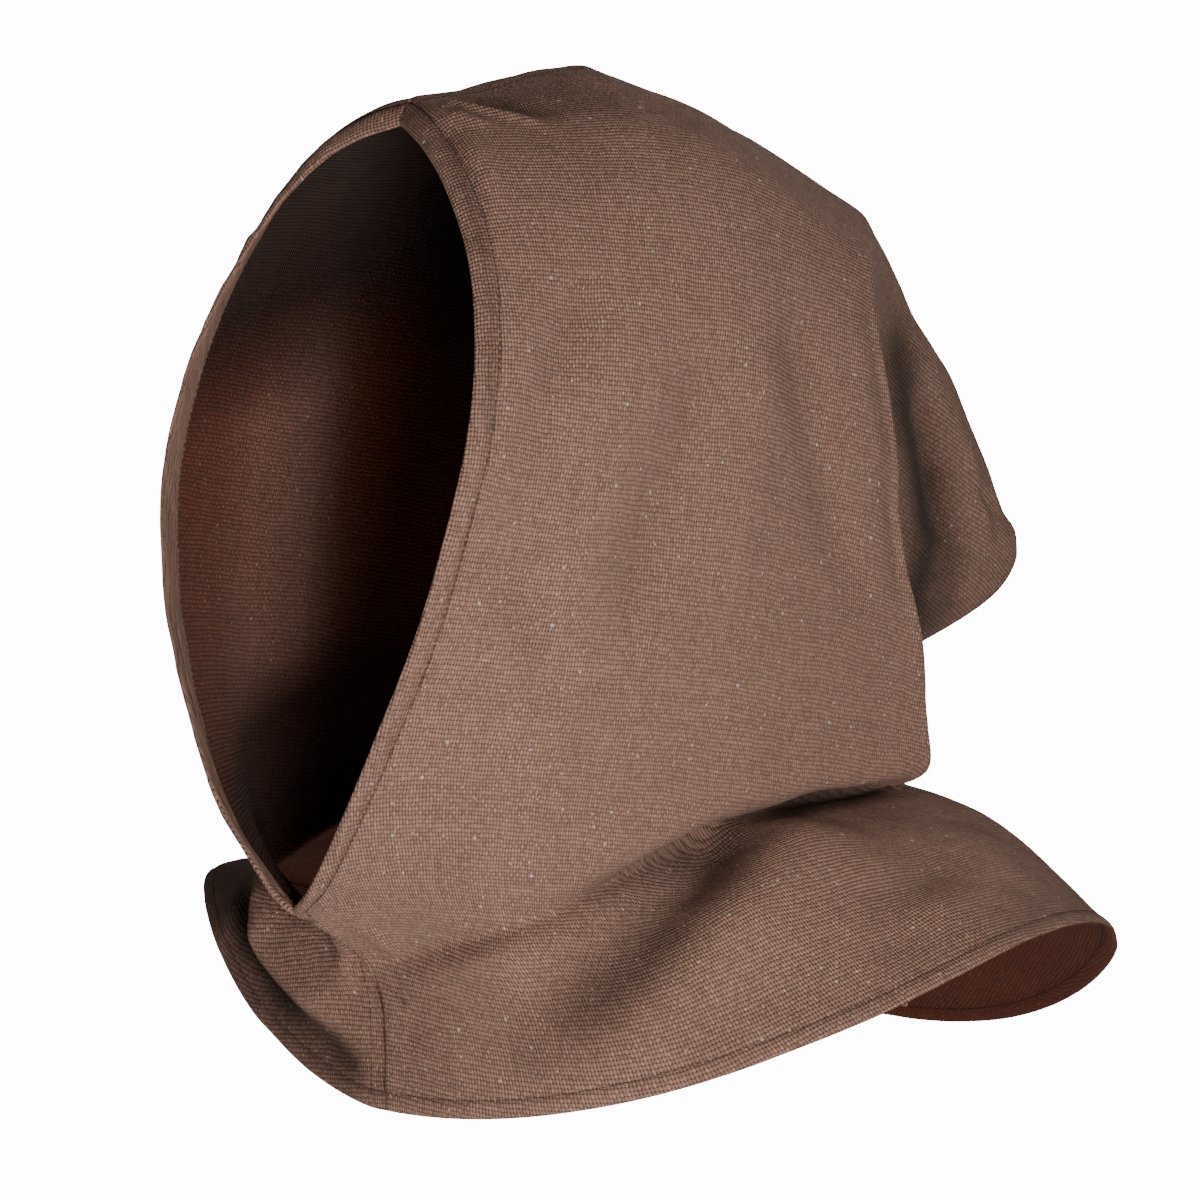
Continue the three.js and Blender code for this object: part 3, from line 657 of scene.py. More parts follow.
shades = {
    "left": [
        # point
        shadeAndMarks(0.88, 18, [(1.7, 12.6), (2.3, 13.4), (2.7, 13.9), (3.4, 14.2), (4.4, 14.6), (6, 14)]),
        shadeAndMarks(0.5, 12, [(2.4, 13.9), (3, 14.5), (3.8, 15), (4.8, 15.2)]),
        # crown and side
        shadeAndMarks(0.26, 13, [(0.4, 2.3), (0.55, 3), (0.8, 3.7), (1, 4.6), (1.1, 5.6)]),
        shadeAndMarks(0.12, 14, [(1.35, 2.6), (1.58, 3.52), (1.7, 4.4)]),
        shadeAndMarks(0.34, 2, [(0.35, 0.95), (0.53, 0.78), (0.85, 0.68), (1.2, 0.6), (1.5, 0.56), (1.9, 0.53),
               (2.6, 0.5), (3.4, 0.5)]),
        shadeAndMarks(0.1, 10, [(3.3, 6.1), (3.53, 5.68), (3.93, 5.27), (4.57, 4.82), (5.3, 4.38)]),
        shadeAndMarks(0.08, 10, [(3, 7.6), (3.97, 7.8), (4.83, 8.05), (5.7, 8.4)]),
        shadeAndMarks(0.12, 8, [(2.4, 3.5), (2.65, 3.15), (2.95, 2.68), (3.23, 2.22)]),
        shadeAndMarks(0.12, 8, [(4.5, 2.13), (5.02, 2.53), (5.43, 2.93)]),
        # cape
        shadeAndMarks(0.3, 8, [(11.2, 7.5), (11.35, 7.15), (11.8, 6.4), (12.17, 5.8)]),
        shadeAndMarks(0.4, 15, [(11.35, 7.15), (12.17, 5.8), (12.9, 4.55), (13.42, 3.6), (13.97, 2.87)]),
        shadeAndMarks(0.3, 15, [(12.6, 5), (12.9, 4.55), (13.42, 3.6), (13.97, 2.87), (14.3, 2.4)]),
        shadeAndMarks(0.16, 12, [(13.4, 7.7), (13.85, 7.3), (13.95, 6.63), (14.32, 6.25)]),
        shadeAndMarks(0.92, 6.5, [(11.2, 7.4), (11.2, 8.2), (11.28, 8.9), (11.25, 9.4)]),
        shadeAndMarks(0.25, 7, [(11.2, 7.4), (11.1, 6.4), (10.9, 5.3), (10.6, 4)]),
        shadeAndMarks(0.2, 14, [(14.5, 3.6), (14.6, 4.9), (14.8, 5.7), (14.8, 7), (14.7, 8.2)]),
        # a small dark mark on the cloth itself, not shade
        shadeAndMarks(0.5, 2.6, [(12.74, 1.03), (12.82, 1.1)], fade=0.01),
        # throat seam
        shadeAndMarks(0.5, 1.2, [(9.2, 0), (12, 0), (15, 0)], fade=0.01),
    ],
    "right": [
        # point
        shadeAndMarks(0.6, 26, [(1.7, 12.6), (2.3, 13.4), (3.1, 14.1), (4.2, 14.3), (6, 14)]),
        # throat and cape
        shadeAndMarks(0.9, 9, [(13.9, 4.4), (14, 3.7), (14, 3.1), (14.1, 2.7), (14.2, 2.05)]),
        shadeAndMarks(0.7, 7, [(14, 2.8), (14.2, 2.05), (14.3, 1.4), (14.45, 0.7)]),
        shadeAndMarks(0.5, 1.2, [(9.2, 0), (12, 0), (15, 0)], fade=0.01),
        shadeAndMarks(0.6, 18, [(14.7, 6.6), (14.6, 5.6), (14.4, 4.6), (14.2, 3.8)]),
        shadeAndMarks(0.22, 22, [(12.2, 2.4), (12.8, 2), (13.3, 1.6)]),
        shadeAndMarks(0.4, 9, [(14.8, 3.6), (14.8, 2.6), (14.85, 1.6), (14.85, 0.8)]),
    ],
}


def shadeAt(half, u, v):
    flat = flatAt(half, u, v)
    light = np.ones(flat.shape[:-1])
    for one in shades[half["name"]]:
        best, along = nearPath(half, flat, one["path"])
        fade = one["fade"]
        start = 0.3 * fade
        dark = one["dark"] * ease(0, fade, along + start) * ease(0, fade, 1 - along + start)
        light *= 1 - dark * np.exp(-((best / one["width"]) ** 2))
    return 1 - light


def crestPush(u, v):
    push = 0
    for crest in crests:
        x, y = (v - crest["column"]) / crest["columns"], u / crest["rows"]
        push = push + crest["push"] * np.exp(-(x**2) - y**2)
    return push


def clothAt(half, u, v, lift):
    # place of the finished cloth, held still at the middle seams, where both halves meet
    p, n = smoothAt(half, u, v)
    hold = ease(*heldNearMiddle, abs(p[..., 0]))
    out = foldPush(half, u, v) * hold + crestPush(u, v) + lift
    return turned(p + n * out[..., None], np.broadcast_to(u, p.shape[:-1]))


# Meshes: points within merge millimetres of each other are joined
sharpAngle = 60


def makePiece(name, parts, nodes, merge=0.02):
    # each part has points in millimetres, quads, and places in the weave in millimetres
    points, faces, uvs = [], [], []
    start = 0
    for part in parts:
        points.append(part["points"].reshape(-1, 3))
        faces.append(part["faces"] + start)
        uvs.append(part["flat"].reshape(-1, 2))
        start += len(points[-1])
    faces, uvs = np.concatenate(faces), np.concatenate(uvs) / 1000
    piece = newObject(name, np.concatenate(points), faces.tolist())
    mesh = piece.data
    for key in ("hollowShade", "shadeAndMarks"):
        values = [part.get(key, np.zeros(part["points"].size // 3)) for part in parts]
        mesh.attributes.new(key, "FLOAT", "POINT").data.foreach_set("value", np.concatenate(values))
    layer = mesh.uv_layers.new(name="weave")
    layer.data.foreach_set("uv", uvs[faces.ravel()].ravel())
    openInEdit(piece)
    bpy.ops.mesh.remove_doubles(threshold=merge / 1000)
    bpy.ops.mesh.normals_make_consistent(inside=False)
    bpy.ops.object.mode_set(mode="OBJECT")
    bpy.ops.object.shade_smooth_by_angle(angle=math.radians(sharpAngle))
    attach(piece, "root")
    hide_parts(*nodes)
    return piece


# Cells of one panel, and how much closer they lie toward its edges
panel = {"rows": 230, "columns": 180, "crowd": 0.6}
# Painted shade inside the hood: how far the inner face takes the darker, redder tone of the shaded hollow,
# and how far it is dimmed further, down the rows and across the columns
innerShade = {
    "rows": [0, 2.6, 3.6, 5.8, 6.6, 9.8, 10.8, 15],
    "deepByRow": [1, 1, 0, 0, 1, 1, 0.9, 0.9],
    "columns": [0, 1, 2, 3, 4.3, 5.2, 6, 16],
    "deepByColumn": [0.75, 0.9, 0.82, 0.6, 0.5, 0.9, 1, 1],
    "dimRows": [0, 2.7, 3.7, 5.6, 6.6, 9.4, 10.4, 15],
    "dimByRow": [0.88, 0.88, 0, 0, 0.7, 0.7, 0.1, 0.1],
}


def crowded(count):
    x = np.linspace(0, 1, count + 1)
    return x - panel["crowd"] / (2 * math.pi) * np.sin(2 * math.pi * x)


def makePanel(half):
    r, c = crowded(panel["rows"])[:, None], crowded(panel["columns"])[None]
    u, v = panelPlaces(half, r, c)
    n, m = u.shape
    flat = flatAt(half, u, v)
    points = np.concatenate([clothAt(half, u, v, lift).reshape(-1, 3) for lift in (0, -cloth["thick"])])
    index = grid(n, m)
    outer = quads(index)
    inner = quads(index + n * m)[:, ::-1]
    loop = np.concatenate([index[:, 0], index[-1, 1:], index[-2::-1, -1], index[0, -2:0:-1]])
    after = np.roll(loop, -1)
    rim = np.stack([loop, loop + n * m, after + n * m, after], -1)
    dark = shadeAt(half, u, v)
    # painted shade on the inner face: deep parts take the hollow's darker, redder tone, and some rows are
    # dimmed further
    dim = np.interp(u, innerShade["dimRows"], innerShade["dimByRow"])
    lit = 1 - np.interp(u, innerShade["rows"], innerShade["deepByRow"])
    deep = 1 - lit * (1 - np.interp(v, innerShade["columns"], innerShade["deepByColumn"]))
    return {
        "points": points,
        "faces": np.concatenate([outer, inner, rim]),
        "flat": np.concatenate([flat.reshape(-1, 2)] * 2),
        "hollowShade": np.concatenate([0 * deep.ravel(), deep.ravel()]),
        "shadeAndMarks": np.concatenate([dark.ravel(), (1 - (1 - dark) * (1 - dim)).ravel()]),
    }


def makeCloth(side):
    nodes = [side + "_" + area for area in ("crown", "side", "nape", "point", "front_cape", "back_cape")]
    return makePiece(side + "_cloth", [makePanel(halves[side])], nodes, merge=0.001)


leftCloth, rightCloth = makeCloth("left"), makeCloth("right")
print("panels made")

# Hems: the cloth folded in and sewn down. A section goes by shares of the width from the fold,
# along the outer side to the fold and back along the inner side, with heights over the panel's
# outer face. pucker is in millimetres, dentShade the painted shade along the stitches, and inside
# tells whether the inner side takes the darker, redder painted shade of the hollow.
hemShares = [1, 0.93, 0.82, 0.6, 0.35, 0.15, 0.04]
hemAcross = np.array(hemShares + [0] + hemShares[::-1])
hems = {
    "face": {
        "outer": [-0.45, -0.1, 0.55, 0.95, 0.95, 0.55, -0.2],
        "inner": [-0.95, -1.8, -2.3, -2.55, -2.5, -2.3, -1.95, -1.8],
        "cell": 2.2,
        "pucker": 0.6,
        "dentShade": 0.28,
        "inside": 0,
    },
    "cape": {
        "outer": [-0.12, -0.1, 0.05, 0.15, 0.12, -0.05, -0.45],
        "inner": [-0.95, -1.6, -2, -2.2, -2.2, -2.1, -1.9, -1.8],
        "cell": 2.6,
        "pucker": 0.35,
        "dentShade": 0.4,
        "inside": 1,
    },
}
pucker = {"pitch": 11, "finePitch": 11 / 2.7, "fine": 0.5, "seed": 11, "calmEnd": 10, "lean": 0.8}
groove = {"deep": 0.8, "wide": 0.7}
dentPlace = {"across": 0.88, "wide": 0.09}


def wave(along, seed, pitch):
    heights = np.random.default_rng(seed).uniform(-1, 1, 400)
    x = along / pitch + 100
    i = np.floor(x).astype(int)
    return mix(heights[i % 400], heights[(i + 1) % 400], ease(0, 1, x - i))


def between(first, second, across):
    # rows and columns of a strip from one edge to the other, at the shares in across
    u = first[:, :1] + (second[:, :1] - first[:, :1]) * across
    v = first[:, 1:] + (second[:, 1:] - first[:, 1:]) * across
    return u, v


def hemStrip(half, hem, folded, sewn, middleDistance):
    # folded and sewn are the (row, column) of the folded and the sewn edge at every cut
    u, v = between(folded, sewn, hemAcross)
    along = runLength(clothAt(half, folded[:, 0], folded[:, 1], 0))
    swell = wave(along, pucker["seed"], pucker["pitch"])
    swell += pucker["fine"] * wave(along, pucker["seed"] + 1, pucker["finePitch"])
    hold = ease(0, pucker["calmEnd"], middleDistance)
    shape = np.sin(np.pi * hemAcross ** pucker["lean"]) * hem["pucker"]
    seam = -groove["deep"] * np.exp(-((middleDistance / groove["wide"]) ** 2))
    outside = np.repeat((1.0, 0.0), (len(hem["outer"]), len(hem["inner"])))
    lift = np.array(hem["outer"] + hem["inner"])
    lifts = lift + (swell * hold)[:, None] * shape + seam[:, None] * outside
    flat = flatAt(half, u, v)
    edgeFlat = flatAt(half, folded[:, 0], folded[:, 1])[:, None]
    flat = np.where(outside[None, :, None] > 0, flat, 2 * edgeFlat - flat)
    index = grid(*u.shape)
    # painted shade: the inner side of the cape hem takes the hollow's shade tone, and a thin line of painted
    # shade lies in the dent along the stitches
    inside = hem["inside"] * (1 - outside) * np.ones(u.shape)
    spread = ((hemAcross - dentPlace["across"]) / dentPlace["wide"]) ** 2
    dentShade = hem["dentShade"] * np.exp(-spread) * outside
    return {
        "points": clothAt(half, u, v, lifts),
        "faces": quads(np.concatenate([index, index[:, :1]], 1)),
        "flat": flat,
        "shadeAndMarks": (1 - (1 - shadeAt(half, u, v)) * (1 - dentShade)).ravel(),
        "hollowShade": inside.ravel(),
    }


def flushMiddle(points, u):
    # a cut on the middle seam lies in the middle plane, turned with the cape
    a = turnAngle(u)
    axis = np.array((0, cape["turnAxis"]))
    normal = np.array((math.cos(a), math.sin(a)))
    points[:, :2] -= np.outer((points[:, :2] - axis) @ normal, normal)


def cuts(run, cell):
    # distances along a hem, close together at the two middle seams
    ends = np.array((0, 0.6, 1.3, 2.6, 4.5))
    body = np.linspace(ends[-1], run[-1] - ends[-1], max(2, int(run[-1] / cell)))
    at = np.concatenate([ends[:-1], body, run[-1] - ends[:-1][::-1]])
    return at, np.minimum(at, run[-1] - at)


def faceHem(half):
    toFold = cloth["chinRow"] / mitreRow
    fine = np.linspace(0, mitreRow, 400)
    p, _ = smoothAt(half, fine * toFold, 0)
    run = runLength(p)
    at, middleDistance = cuts(run, hems["face"]["cell"])
    u = np.interp(at, run, fine)
    folded = np.stack([u * toFold, 0 * u], 1)
    sewn = np.stack([u, borderAt(half, "front", u)], 1)
    sewn[-1] = (mitreRow, 0)
    part = hemStrip(half, hems["face"], folded, sewn, middleDistance)
    flushMiddle(part["points"][0], 0)
    flushMiddle(part["points"][-1], mitreRow)
    return part


def capeHem(half):
    fine = np.linspace(0, lastColumn, 400)
    p, _ = smoothAt(half, lastRow, fine)
    run = runLength(p)
    at, middleDistance = cuts(run, hems["cape"]["cell"])
    v = np.interp(at, run, fine)
    folded = np.stack([lastRow + 0 * v, v], 1)
    sewn = np.stack([borderAt(half, "hem", v), v], 1)
    part = hemStrip(half, hems["cape"], folded, sewn, middleDistance)
    for end in (0, -1):
        flushMiddle(part["points"][end], lastRow)
    return part


def makeFold(name, make):
    return makePiece(name + "_fold", [make(half) for half in halves.values()], [name])


faceHemFold = makeFold("face_hem", faceHem)
capeHemFold = makeFold("cape_hem", capeHem)
print("hems made")

# Seams: distance from the middle line as a share of the half width, and height over the panel,
# out along the outer side and back along the inner one
seamSection = [
    (0, -0.85), (0.1, -0.2), (0.25, 0.2), (0.5, 0.35), (0.78, 0.2), (1, -0.05),
    (1, -1.35), (0.85, -2), (0.5, -2.3), (0, -2.3),
]


def seamStrip(half, middles, borders):
    across, lift = np.array(seamSection).T
    u, v = between(middles, borders, across)
    points = clothAt(half, u, v, lift + 0 * u)
    for row, k in zip(points, middles[:, 0]):
        sides = row[[0, -1]]
        flushMiddle(sides, k)
        row[[0, -1]] = sides
    index = grid(*u.shape)
    outer = np.arange(len(across) // 2)
    # strips across the thickness close the two ends
    faces = [quads(index)]
    faces += [quads(np.stack([row[outer], row[::-1][outer]])) for row in index[[0, -1]]]
    return {
        "points": points,
        "flat": flatAt(half, u, v),
        "shadeAndMarks": shadeAt(half, u, v).ravel(),
        "faces": np.concatenate(faces),
    }


def throatSeam(half):
    end = fromHem(half, 0.0, cloth["capeHem"])
    u = np.linspace(mitreRow, end, 60)
    middles = np.stack([u, 0 * u], 1)
    borders = np.stack([u, borderAt(half, "front", u)], 1)
    return seamStrip(half, middles, borders)


def tipCorner(half):
    u, v = 0.5, lastColumn - 0.5
    for _ in range(8):
        v = borderAt(half, "nape", u)
        u = borderAt(half, "ridge", v)
    return u, v


def crownSeam(half):
    start = fromFace(half, 0.0, cloth["faceHem"])
    corner = tipCorner(half)
    x = crowded(200)
    middles = np.stack([0 * x, start + (lastColumn - start) * x], 1)
    edge = start + (corner[1] - start) * x
    borders = np.stack([borderAt(half, "ridge", edge), edge], 1)
    return seamStrip(half, middles, borders)


def backSeam(half):
    end = fromHem(half, lastColumn, cloth["capeHem"])
    corner = tipCorner(half)
    x = crowded(200)
    middles = np.stack([end * x, lastColumn + 0 * x], 1)
    edge = corner[0] + (end - corner[0]) * x
    borders = np.stack([edge, borderAt(half, "nape", edge)], 1)
    return seamStrip(half, middles, borders)


throatFold = makeFold("throat_seam", throatSeam)
crownFold = makeFold("crown_seam", crownSeam)
backFold = makeFold("back_seam", backSeam)
print("seams made")

# Stitches: one is modelled, then laid along each row. The hems are sewn at a share of their
# width, the seams at some millimetres from the middle, and lifts are outside and inside.
stitch = {
    "long": 2.5,
    "pitch": 3.3,
    "wide": 0.42,
    "high": 0.36,
    "hemShare": 0.94,
    "hemLifts": (-0.05, -2.05),
    "throatAway": 7,
    "seamAway": 6.5,
    "seamLift": 0.05,
}


def stitchShape():
    bpy.ops.object.select_all(action="DESELECT")
    bpy.ops.mesh.primitive_uv_sphere_add(segments=6, ring_count=4, radius=0.5)
    bead = bpy.context.object
    bead.rotation_euler = (0, math.pi / 2, 0)
    bpy.ops.object.transform_apply(location=False, rotation=True, scale=False)
    bead.scale = (stitch["long"], stitch["wide"], stitch["high"])
    bpy.ops.object.transform_apply(location=False, rotation=False, scale=True)
    points = np.array([v.co[:] for v in bead.data.vertices])
    faces = [tuple(f.vertices) for f in bead.data.polygons]
    bpy.data.objects.remove(bead)
    return points, faces


beadPoints, beadFaces = stitchShape()


def onLine(line, run, at):
    return np.stack([np.interp(at, run, line[:, k]) for k in range(3)], 1)


def stitchRow(half, u, v, lift):
    # u and v follow the row; lift is the height of the thread over the outer face
    line = clothAt(half, u, v, lift)
    over = clothAt(half, u, v, lift + 1)
    run = runLength(line)
    at = np.arange(stitch["pitch"], run[-1] - stitch["long"] / 2, stitch["pitch"])
    centre = onLine(line, run, at)
    x = unit(onLine(line, run, at + 0.6) - onLine(line, run, at - 0.6))
    y = unit(np.cross(unit(onLine(over, run, at) - centre), x))
    z = np.cross(x, y)
    points = centre[:, None] + beadPoints @ np.stack([x, y, z], 1)
    return points.reshape(-1, 3)


def makeStitches(name, rows):
    points = np.concatenate(rows)
    count = len(points) // len(beadPoints)
    faces = [tuple(i + k * len(beadPoints) for i in f) for k in range(count) for f in beadFaces]
    piece = newObject(name, points, faces)
    piece.data.polygons.foreach_set("use_smooth", [True] * len(faces))
    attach(piece, "root")
    return piece


def faceHemStitches(half, lift):
    u = np.linspace(0.05, mitreRow - 0.2, 300)
    sewn = borderAt(half, "front", u)
    folded = u * cloth["chinRow"] / mitreRow
    return stitchRow(half, mix(folded, u, stitch["hemShare"]), sewn * stitch["hemShare"], lift)


def capeHemStitches(half, lift):
    v = np.linspace(0.03, lastColumn - 0.03, 400)
    sewn = borderAt(half, "hem", v)
    return stitchRow(half, mix(lastRow, sewn, stitch["hemShare"]), v, lift)


def throatStitches(half):
    u = np.linspace(mitreRow + 0.25, lastRow - 0.2, 40)
    v = np.array([fromFace(half, x, stitch["throatAway"]) for x in u])
    return stitchRow(half, u, v, stitch["seamLift"])


def crownStitches(half):
    v = np.linspace(0.7, lastColumn - 1.5, 60)
    u = np.array([fromRidge(half, x, stitch["seamAway"]) for x in v])
    return stitchRow(half, u, v, stitch["seamLift"])


def backStitches(half):
    u = np.linspace(1.6, lastRow - 0.2, 60)
    v = np.array([fromNape(half, x, stitch["seamAway"]) for x in u])
    return stitchRow(half, u, v, stitch["seamLift"])


hemRows = [(half, lift) for half in halves.values() for lift in stitch["hemLifts"]]
threads = [
    makeStitches("face_hem_stitches", [faceHemStitches(*row) for row in hemRows]),
    makeStitches("cape_hem_stitches", [capeHemStitches(*row) for row in hemRows]),
    makeStitches("throat_stitches", [throatStitches(halves["right"])]),
    makeStitches("crown_stitches", [crownStitches(halves["left"])]),
    makeStitches("back_stitches", [backStitches(halves["right"])]),
]
print("stitches laid")


# Shader nodes: a wire carries a value and does arithmetic
def operator(name, swapped=False):
    def calculate(wire, other):
        pair = (other, wire) if swapped else (wire, other)
        return wire.paint.math(name, *pair)

    return calculate


class Wire:
    def __init__(self, paint, node, output=0):
        self.paint = paint
        self.source = node
        self.socket = node.outputs[output]

    def out(self, output):
        return Wire(self.paint, self.source, output)

    __add__ = operator("ADD")
    __radd__ = operator("ADD")
    __sub__ = operator("SUBTRACT")
    __rsub__ = operator("SUBTRACT", swapped=True)
    __mul__ = operator("MULTIPLY")
    __rmul__ = operator("MULTIPLY", swapped=True)
    __truediv__ = operator("DIVIDE")
    __pow__ = operator("POWER")


class Paint:
    def __init__(self, name):
        self.material = bpy.data.materials.new(name)
        self.material.use_nodes = True
        self.tree = self.material.node_tree
        self.shader = self.tree.nodes["Principled BSDF"]

    def node(self, kind, settings, sockets):
        node = self.tree.nodes.new("ShaderNode" + kind)
        for key, value in settings.items():
            setattr(node, key, value)
        for key, value in sockets.items():
            self.plug(node, key, value)
        return Wire(self, node)

    def plug(self, node, key, value):
        if isinstance(value, Wire):
            self.tree.links.new(value.socket, node.inputs[key])
        else:
            node.inputs[key].default_value = value

    def math(self, operation, *values):
        return self.node("Math", {"operation": operation}, dict(enumerate(values)))

    def between(self, low, high, value):
        settings = {"interpolation_type": "SMOOTHSTEP"}
        return self.node("MapRange", settings, {"Value": value, "From Min": low, "From Max": high})

    def blend(self, a, b, factor, how="MIX"):
        settings = {"data_type": "RGBA", "blend_type": how, "clamp_factor": True}
        return self.node("Mix", settings, {0: factor, 6: a, 7: b}).out(2)

    def stain(self, colour, tint, factor):
        return self.blend(colour, self.blend(colour, tint, 1.0, "MULTIPLY"), factor)

    def feed(self, socket, value):
        self.plug(self.shader, socket, value)


canvas = {
    "warp": (0.266, 0.152, 0.115, 1),
    "weft": (0.229, 0.129, 0.098, 1),
    "straw": (1.06, 1, 0.88, 1),
    # inside is the darker, redder tint of the painted shade in the hollow
    "inside": (0.3, 0.094, 0.038, 1),
    "shaded": (0.08, 0.07, 0.07, 1),
    "gap": (0.055, 0.028, 0.02, 1),
    "nep": (0.58, 0.47, 0.4, 1),
    "warpPitch": 1.25,
    "weftPitch": 1.8,
    "wander": 0.45,
    "wanderLong": (34, 41),
    "wanderShort": 5,
    "longTimes": 6,
    "loft": 0.6,
    "gapUntil": (0.16, 0.7),
    "strawFrom": (0.45, 0.7),
    "light": {
        "base": 0.29, "thread": 0.16, "crossing": 0.42, "fibre": 0.62,
        "heather": 0.36, "mottle": 0.16, "patch": 0.1,
    },
    "noises": {"fibre": (1.5, 3), "heather": (0.55, 2), "mottle": (1 / 16, 3), "patch": (1 / 90, 2)},
    "relief": 0.0008,
    "reliefShare": 0.9,
    "fibreRelief": 0.35,
    "nepRelief": 0.5,
    "roughness": 0.9,
    "specular": 0.14,
    "sheen": {"Sheen Weight": 0.06, "Sheen Roughness": 0.4, "Sheen Tint": (0.9, 0.76, 0.66, 1)},
}
# Pale neps spun into the threads: one place in each cell, and a share of them is shown
neps = {"cell": 8, "smallest": 0.025, "spread": 0.08, "left": 0.35, "pale": (0.35, 0.5)}


def canvasPaint(name, tone=1.0):
    paint = Paint(name)
    uv = paint.node("UVMap", {"uv_map": "weave"}, {})
    inMillimetres = paint.node("VectorMath", {"operation": "SCALE"}, {0: uv, "Scale": 1000.0})
    split = paint.node("SeparateXYZ", {}, {0: inMillimetres})

    def noise(scale, detail=2.0):
        return paint.node("TexNoise", {}, {"Vector": inMillimetres, "Scale": scale, "Detail": detail})

    # the threads wander a little; s counts the warp threads and t the weft threads
    shiver = noise(1 / canvas["wanderShort"]) * canvas["wander"]
    far = [noise(1 / long) * canvas["wander"] * canvas["longTimes"] for long in canvas["wanderLong"]]
    s = split / canvas["warpPitch"] + far[0] + shiver
    t = split.out(1) / canvas["weftPitch"] + far[1] + shiver
    sineS = paint.math("SINE", s * math.pi)
    sineT = paint.math("SINE", t * math.pi)
    acrossWarp = paint.math("ABSOLUTE", sineS)
    acrossWeft = paint.math("ABSOLUTE", sineT)
    turn = paint.math("SIGN", sineS * sineT)
    warpHeight = acrossWarp ** canvas["loft"] * (0.5 + 0.5 * turn * acrossWeft)
    weftHeight = acrossWeft ** canvas["loft"] * (0.5 - 0.5 * turn * acrossWarp)
    height = paint.math("MAXIMUM", warpHeight, weftHeight)
    # every thread has its own tone, and fibres give it a speckle
    warpTone = paint.node("TexWhiteNoise", {"noise_dimensions": "1D"}, {"W": paint.math("FLOOR", s)})
    weftTone = paint.node("TexWhiteNoise", {"noise_dimensions": "1D"}, {"W": paint.math("FLOOR", t) + 0.37})
    onTop = paint.math("GREATER_THAN", warpHeight, weftHeight)
    threadTone = warpTone.out(0) * onTop + weftTone.out(0) * (1 - onTop)
    cell = paint.node("CombineXYZ", {}, {0: paint.math("FLOOR", s), 1: paint.math("FLOOR", t)})
    crossing = paint.node("TexWhiteNoise", {"noise_dimensions": "2D"}, {"Vector": cell})
    fibre, heather, mottle, patch = [noise(*kind) for kind in canvas["noises"].values()]
    colour = paint.blend(canvas["weft"], canvas["warp"], onTop)
    # the gaps between the threads are painted dark, as painted shade in the recesses of the weave
    colour = paint.blend(canvas["gap"], colour, paint.between(*canvas["gapUntil"], height))
    share = canvas["light"]
    light = share["base"] + threadTone * share["thread"] + crossing * share["crossing"]
    light = light + fibre * share["fibre"] + heather * share["heather"]
    light = light + mottle * share["mottle"] + patch * share["patch"]
    yellow = paint.between(*canvas["strawFrom"], heather)
    colour = paint.stain(colour, canvas["straw"], yellow)
    grey = paint.node("CombineColor", {}, {0: light * tone, 1: light * tone, 2: light * tone})
    colour = paint.blend(colour, grey, 1.0, "MULTIPLY")
    places = {"Vector": inMillimetres, "Scale": 1 / neps["cell"], "Randomness": 1.0}
    specks = paint.node("TexVoronoi", {"voronoi_dimensions": "2D", "feature": "F1"}, places)
    pick = paint.node("SeparateColor", {}, {0: specks.out(1)})
    size = neps["smallest"] + pick.out(1) * pick.out(2) * neps["spread"]
    nep = paint.math("GREATER_THAN", size, specks) * paint.math("GREATER_THAN", pick, neps["left"])
    least, more = neps["pale"]
    colour = paint.blend(colour, canvas["nep"], nep * (least + more * pick.out(2)))
    # painted shade: the inside is painted darker and redder, and places along the shade paths are painted
    # darker
    hollowShade = paint.node("Attribute", {"attribute_name": "hollowShade"}, {}).out(2)
    dark = paint.node("Attribute", {"attribute_name": "shadeAndMarks"}, {}).out(2)
    colour = paint.stain(colour, canvas["inside"], hollowShade)
    colour = paint.stain(colour, canvas["shaded"], dark)
    relief = height + fibre * canvas["fibreRelief"] + nep * canvas["nepRelief"]
    sockets = {"Strength": canvas["reliefShare"], "Distance": canvas["relief"], "Height": relief}
    bump = paint.node("Bump", {}, sockets)
    paint.feed("Base Color", colour)
    paint.feed("Normal", bump)
    paint.feed("Roughness", canvas["roughness"])
    paint.feed("Specular IOR Level", canvas["specular"])
    for socket, value in canvas["sheen"].items():
        paint.feed(socket, value)
    return paint.material


thread = {
    "pale": (0.045, 0.023, 0.016, 1),
    "dark": (0.02475, 0.01265, 0.0088, 1),
    "twist": 900,
    "relief": 0.0002,
    "roughness": 0.8,
}


def threadPaint(name):
    paint = Paint(name)
    place = paint.node("TexCoord", {}, {}).out(3)
    twist = paint.node("TexNoise", {}, {"Vector": place, "Scale": thread["twist"], "Detail": 2.0})
    paint.feed("Base Color", paint.blend(thread["dark"], thread["pale"], twist))
    paint.feed("Roughness", thread["roughness"])
    bump = paint.node("Bump", {}, {"Strength": 0.5, "Distance": thread["relief"], "Height": twist})
    paint.feed("Normal", bump)
    return paint.material


# the hem and seam copies of the canvas are painted a little darker, as painted shade on the folded and
# seamed cloth
panelPaint = canvasPaint("brown_canvas")
hemPaint = canvasPaint("folded_canvas", 0.98)
seamPaint = canvasPaint("seamed_canvas", 0.94)
stitchPaint = threadPaint("brown_thread")
for paint, pieces in (
    (panelPaint, [leftCloth, rightCloth]),
    (hemPaint, [faceHemFold, capeHemFold]),
    (seamPaint, [throatFold, crownFold, backFold]),
    (stitchPaint, threads),
):
    for piece in pieces:
        piece.data.materials.append(paint)
print("materials made")

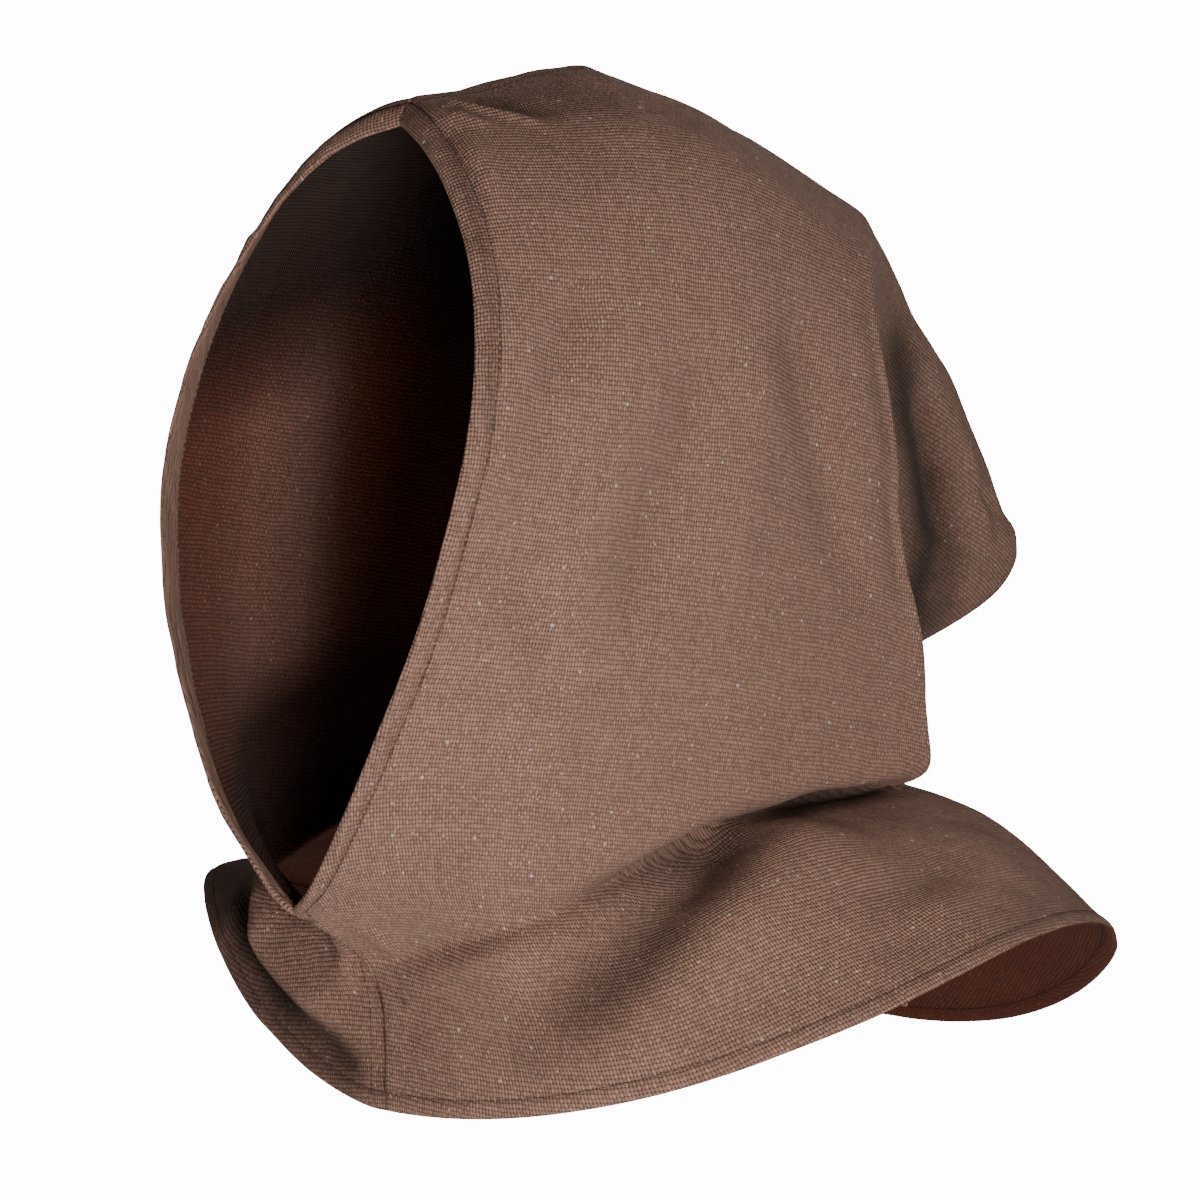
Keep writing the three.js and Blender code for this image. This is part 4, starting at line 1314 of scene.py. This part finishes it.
# Stage: a pale floor well below, a key light low on the wearer's left, and three soft lights
# above, in front and behind
stage = {
    "floorZ": -0.95,
    "floorSize": 60,
    "floorTone": 0.9,
    "world": 0.05,
    "backdrop": 14,
    "lights": [
        {"name": "key", "place": (1.0, -0.62, -0.34), "aim": (0.08, 0.02, -0.26), "size": 0.42, "power": 15},
        {"name": "top", "place": (0.75, 0.3, 1.2), "aim": (0, 0.08, -0.2), "size": 1.0, "power": 7.5},
        {"name": "fill", "place": (-0.25, -1.3, -0.7), "aim": (0, -0.05, -0.38), "size": 0.6, "power": 3},
        {"name": "back", "place": (-0.9, 1.3, 0.45), "aim": (0, 0.05, -0.2), "size": 0.9, "power": 8},
    ],
}
bpy.ops.mesh.primitive_plane_add(size=stage["floorSize"], location=(0, 0, stage["floorZ"]))
floor = bpy.context.object
floor.name = "floor"
floorPaint = Paint("pale_floor")
floorPaint.feed("Base Color", (stage["floorTone"],) * 3 + (1,))
floorPaint.feed("Roughness", 0.9)
# the camera sees floor and backdrop as one even white
seen = floorPaint.node("LightPath", {}, {})
glow = floorPaint.node("Emission", {}, {0: (1, 1, 1, 1), 1: stage["backdrop"]})
matt = Wire(floorPaint, floorPaint.shader)
shown = floorPaint.node("MixShader", {}, {0: seen, 1: matt, 2: glow})
floorPaint.plug(floorPaint.tree.nodes["Material Output"], 0, shown)
floor.data.materials.append(floorPaint.material)
for light in stage["lights"]:
    bpy.ops.object.light_add(type="AREA")
    lamp = bpy.context.object
    lamp.name = light["name"]
    lamp.location = light["place"]
    lookAt(lamp, light["aim"])
    lamp.visible_camera = False
    lamp.data.shape = "DISK"
    lamp.data.size = light["size"]
    lamp.data.energy = light["power"]
# the world shows the same even white and lights only weakly
world = bpy.data.worlds.new("studio")
world.use_nodes = True
tree = world.node_tree
seen = tree.nodes.new("ShaderNodeLightPath")
strength = tree.nodes.new("ShaderNodeMix")
strength.inputs[2].default_value = stage["world"]
strength.inputs[3].default_value = stage["backdrop"]
tree.links.new(seen.outputs[0], strength.inputs[0])
tree.links.new(strength.outputs[0], tree.nodes["Background"].inputs[1])
tree.nodes["Background"].inputs[0].default_value = (1, 1, 1, 1)
bpy.context.scene.world = world
print("stage set")
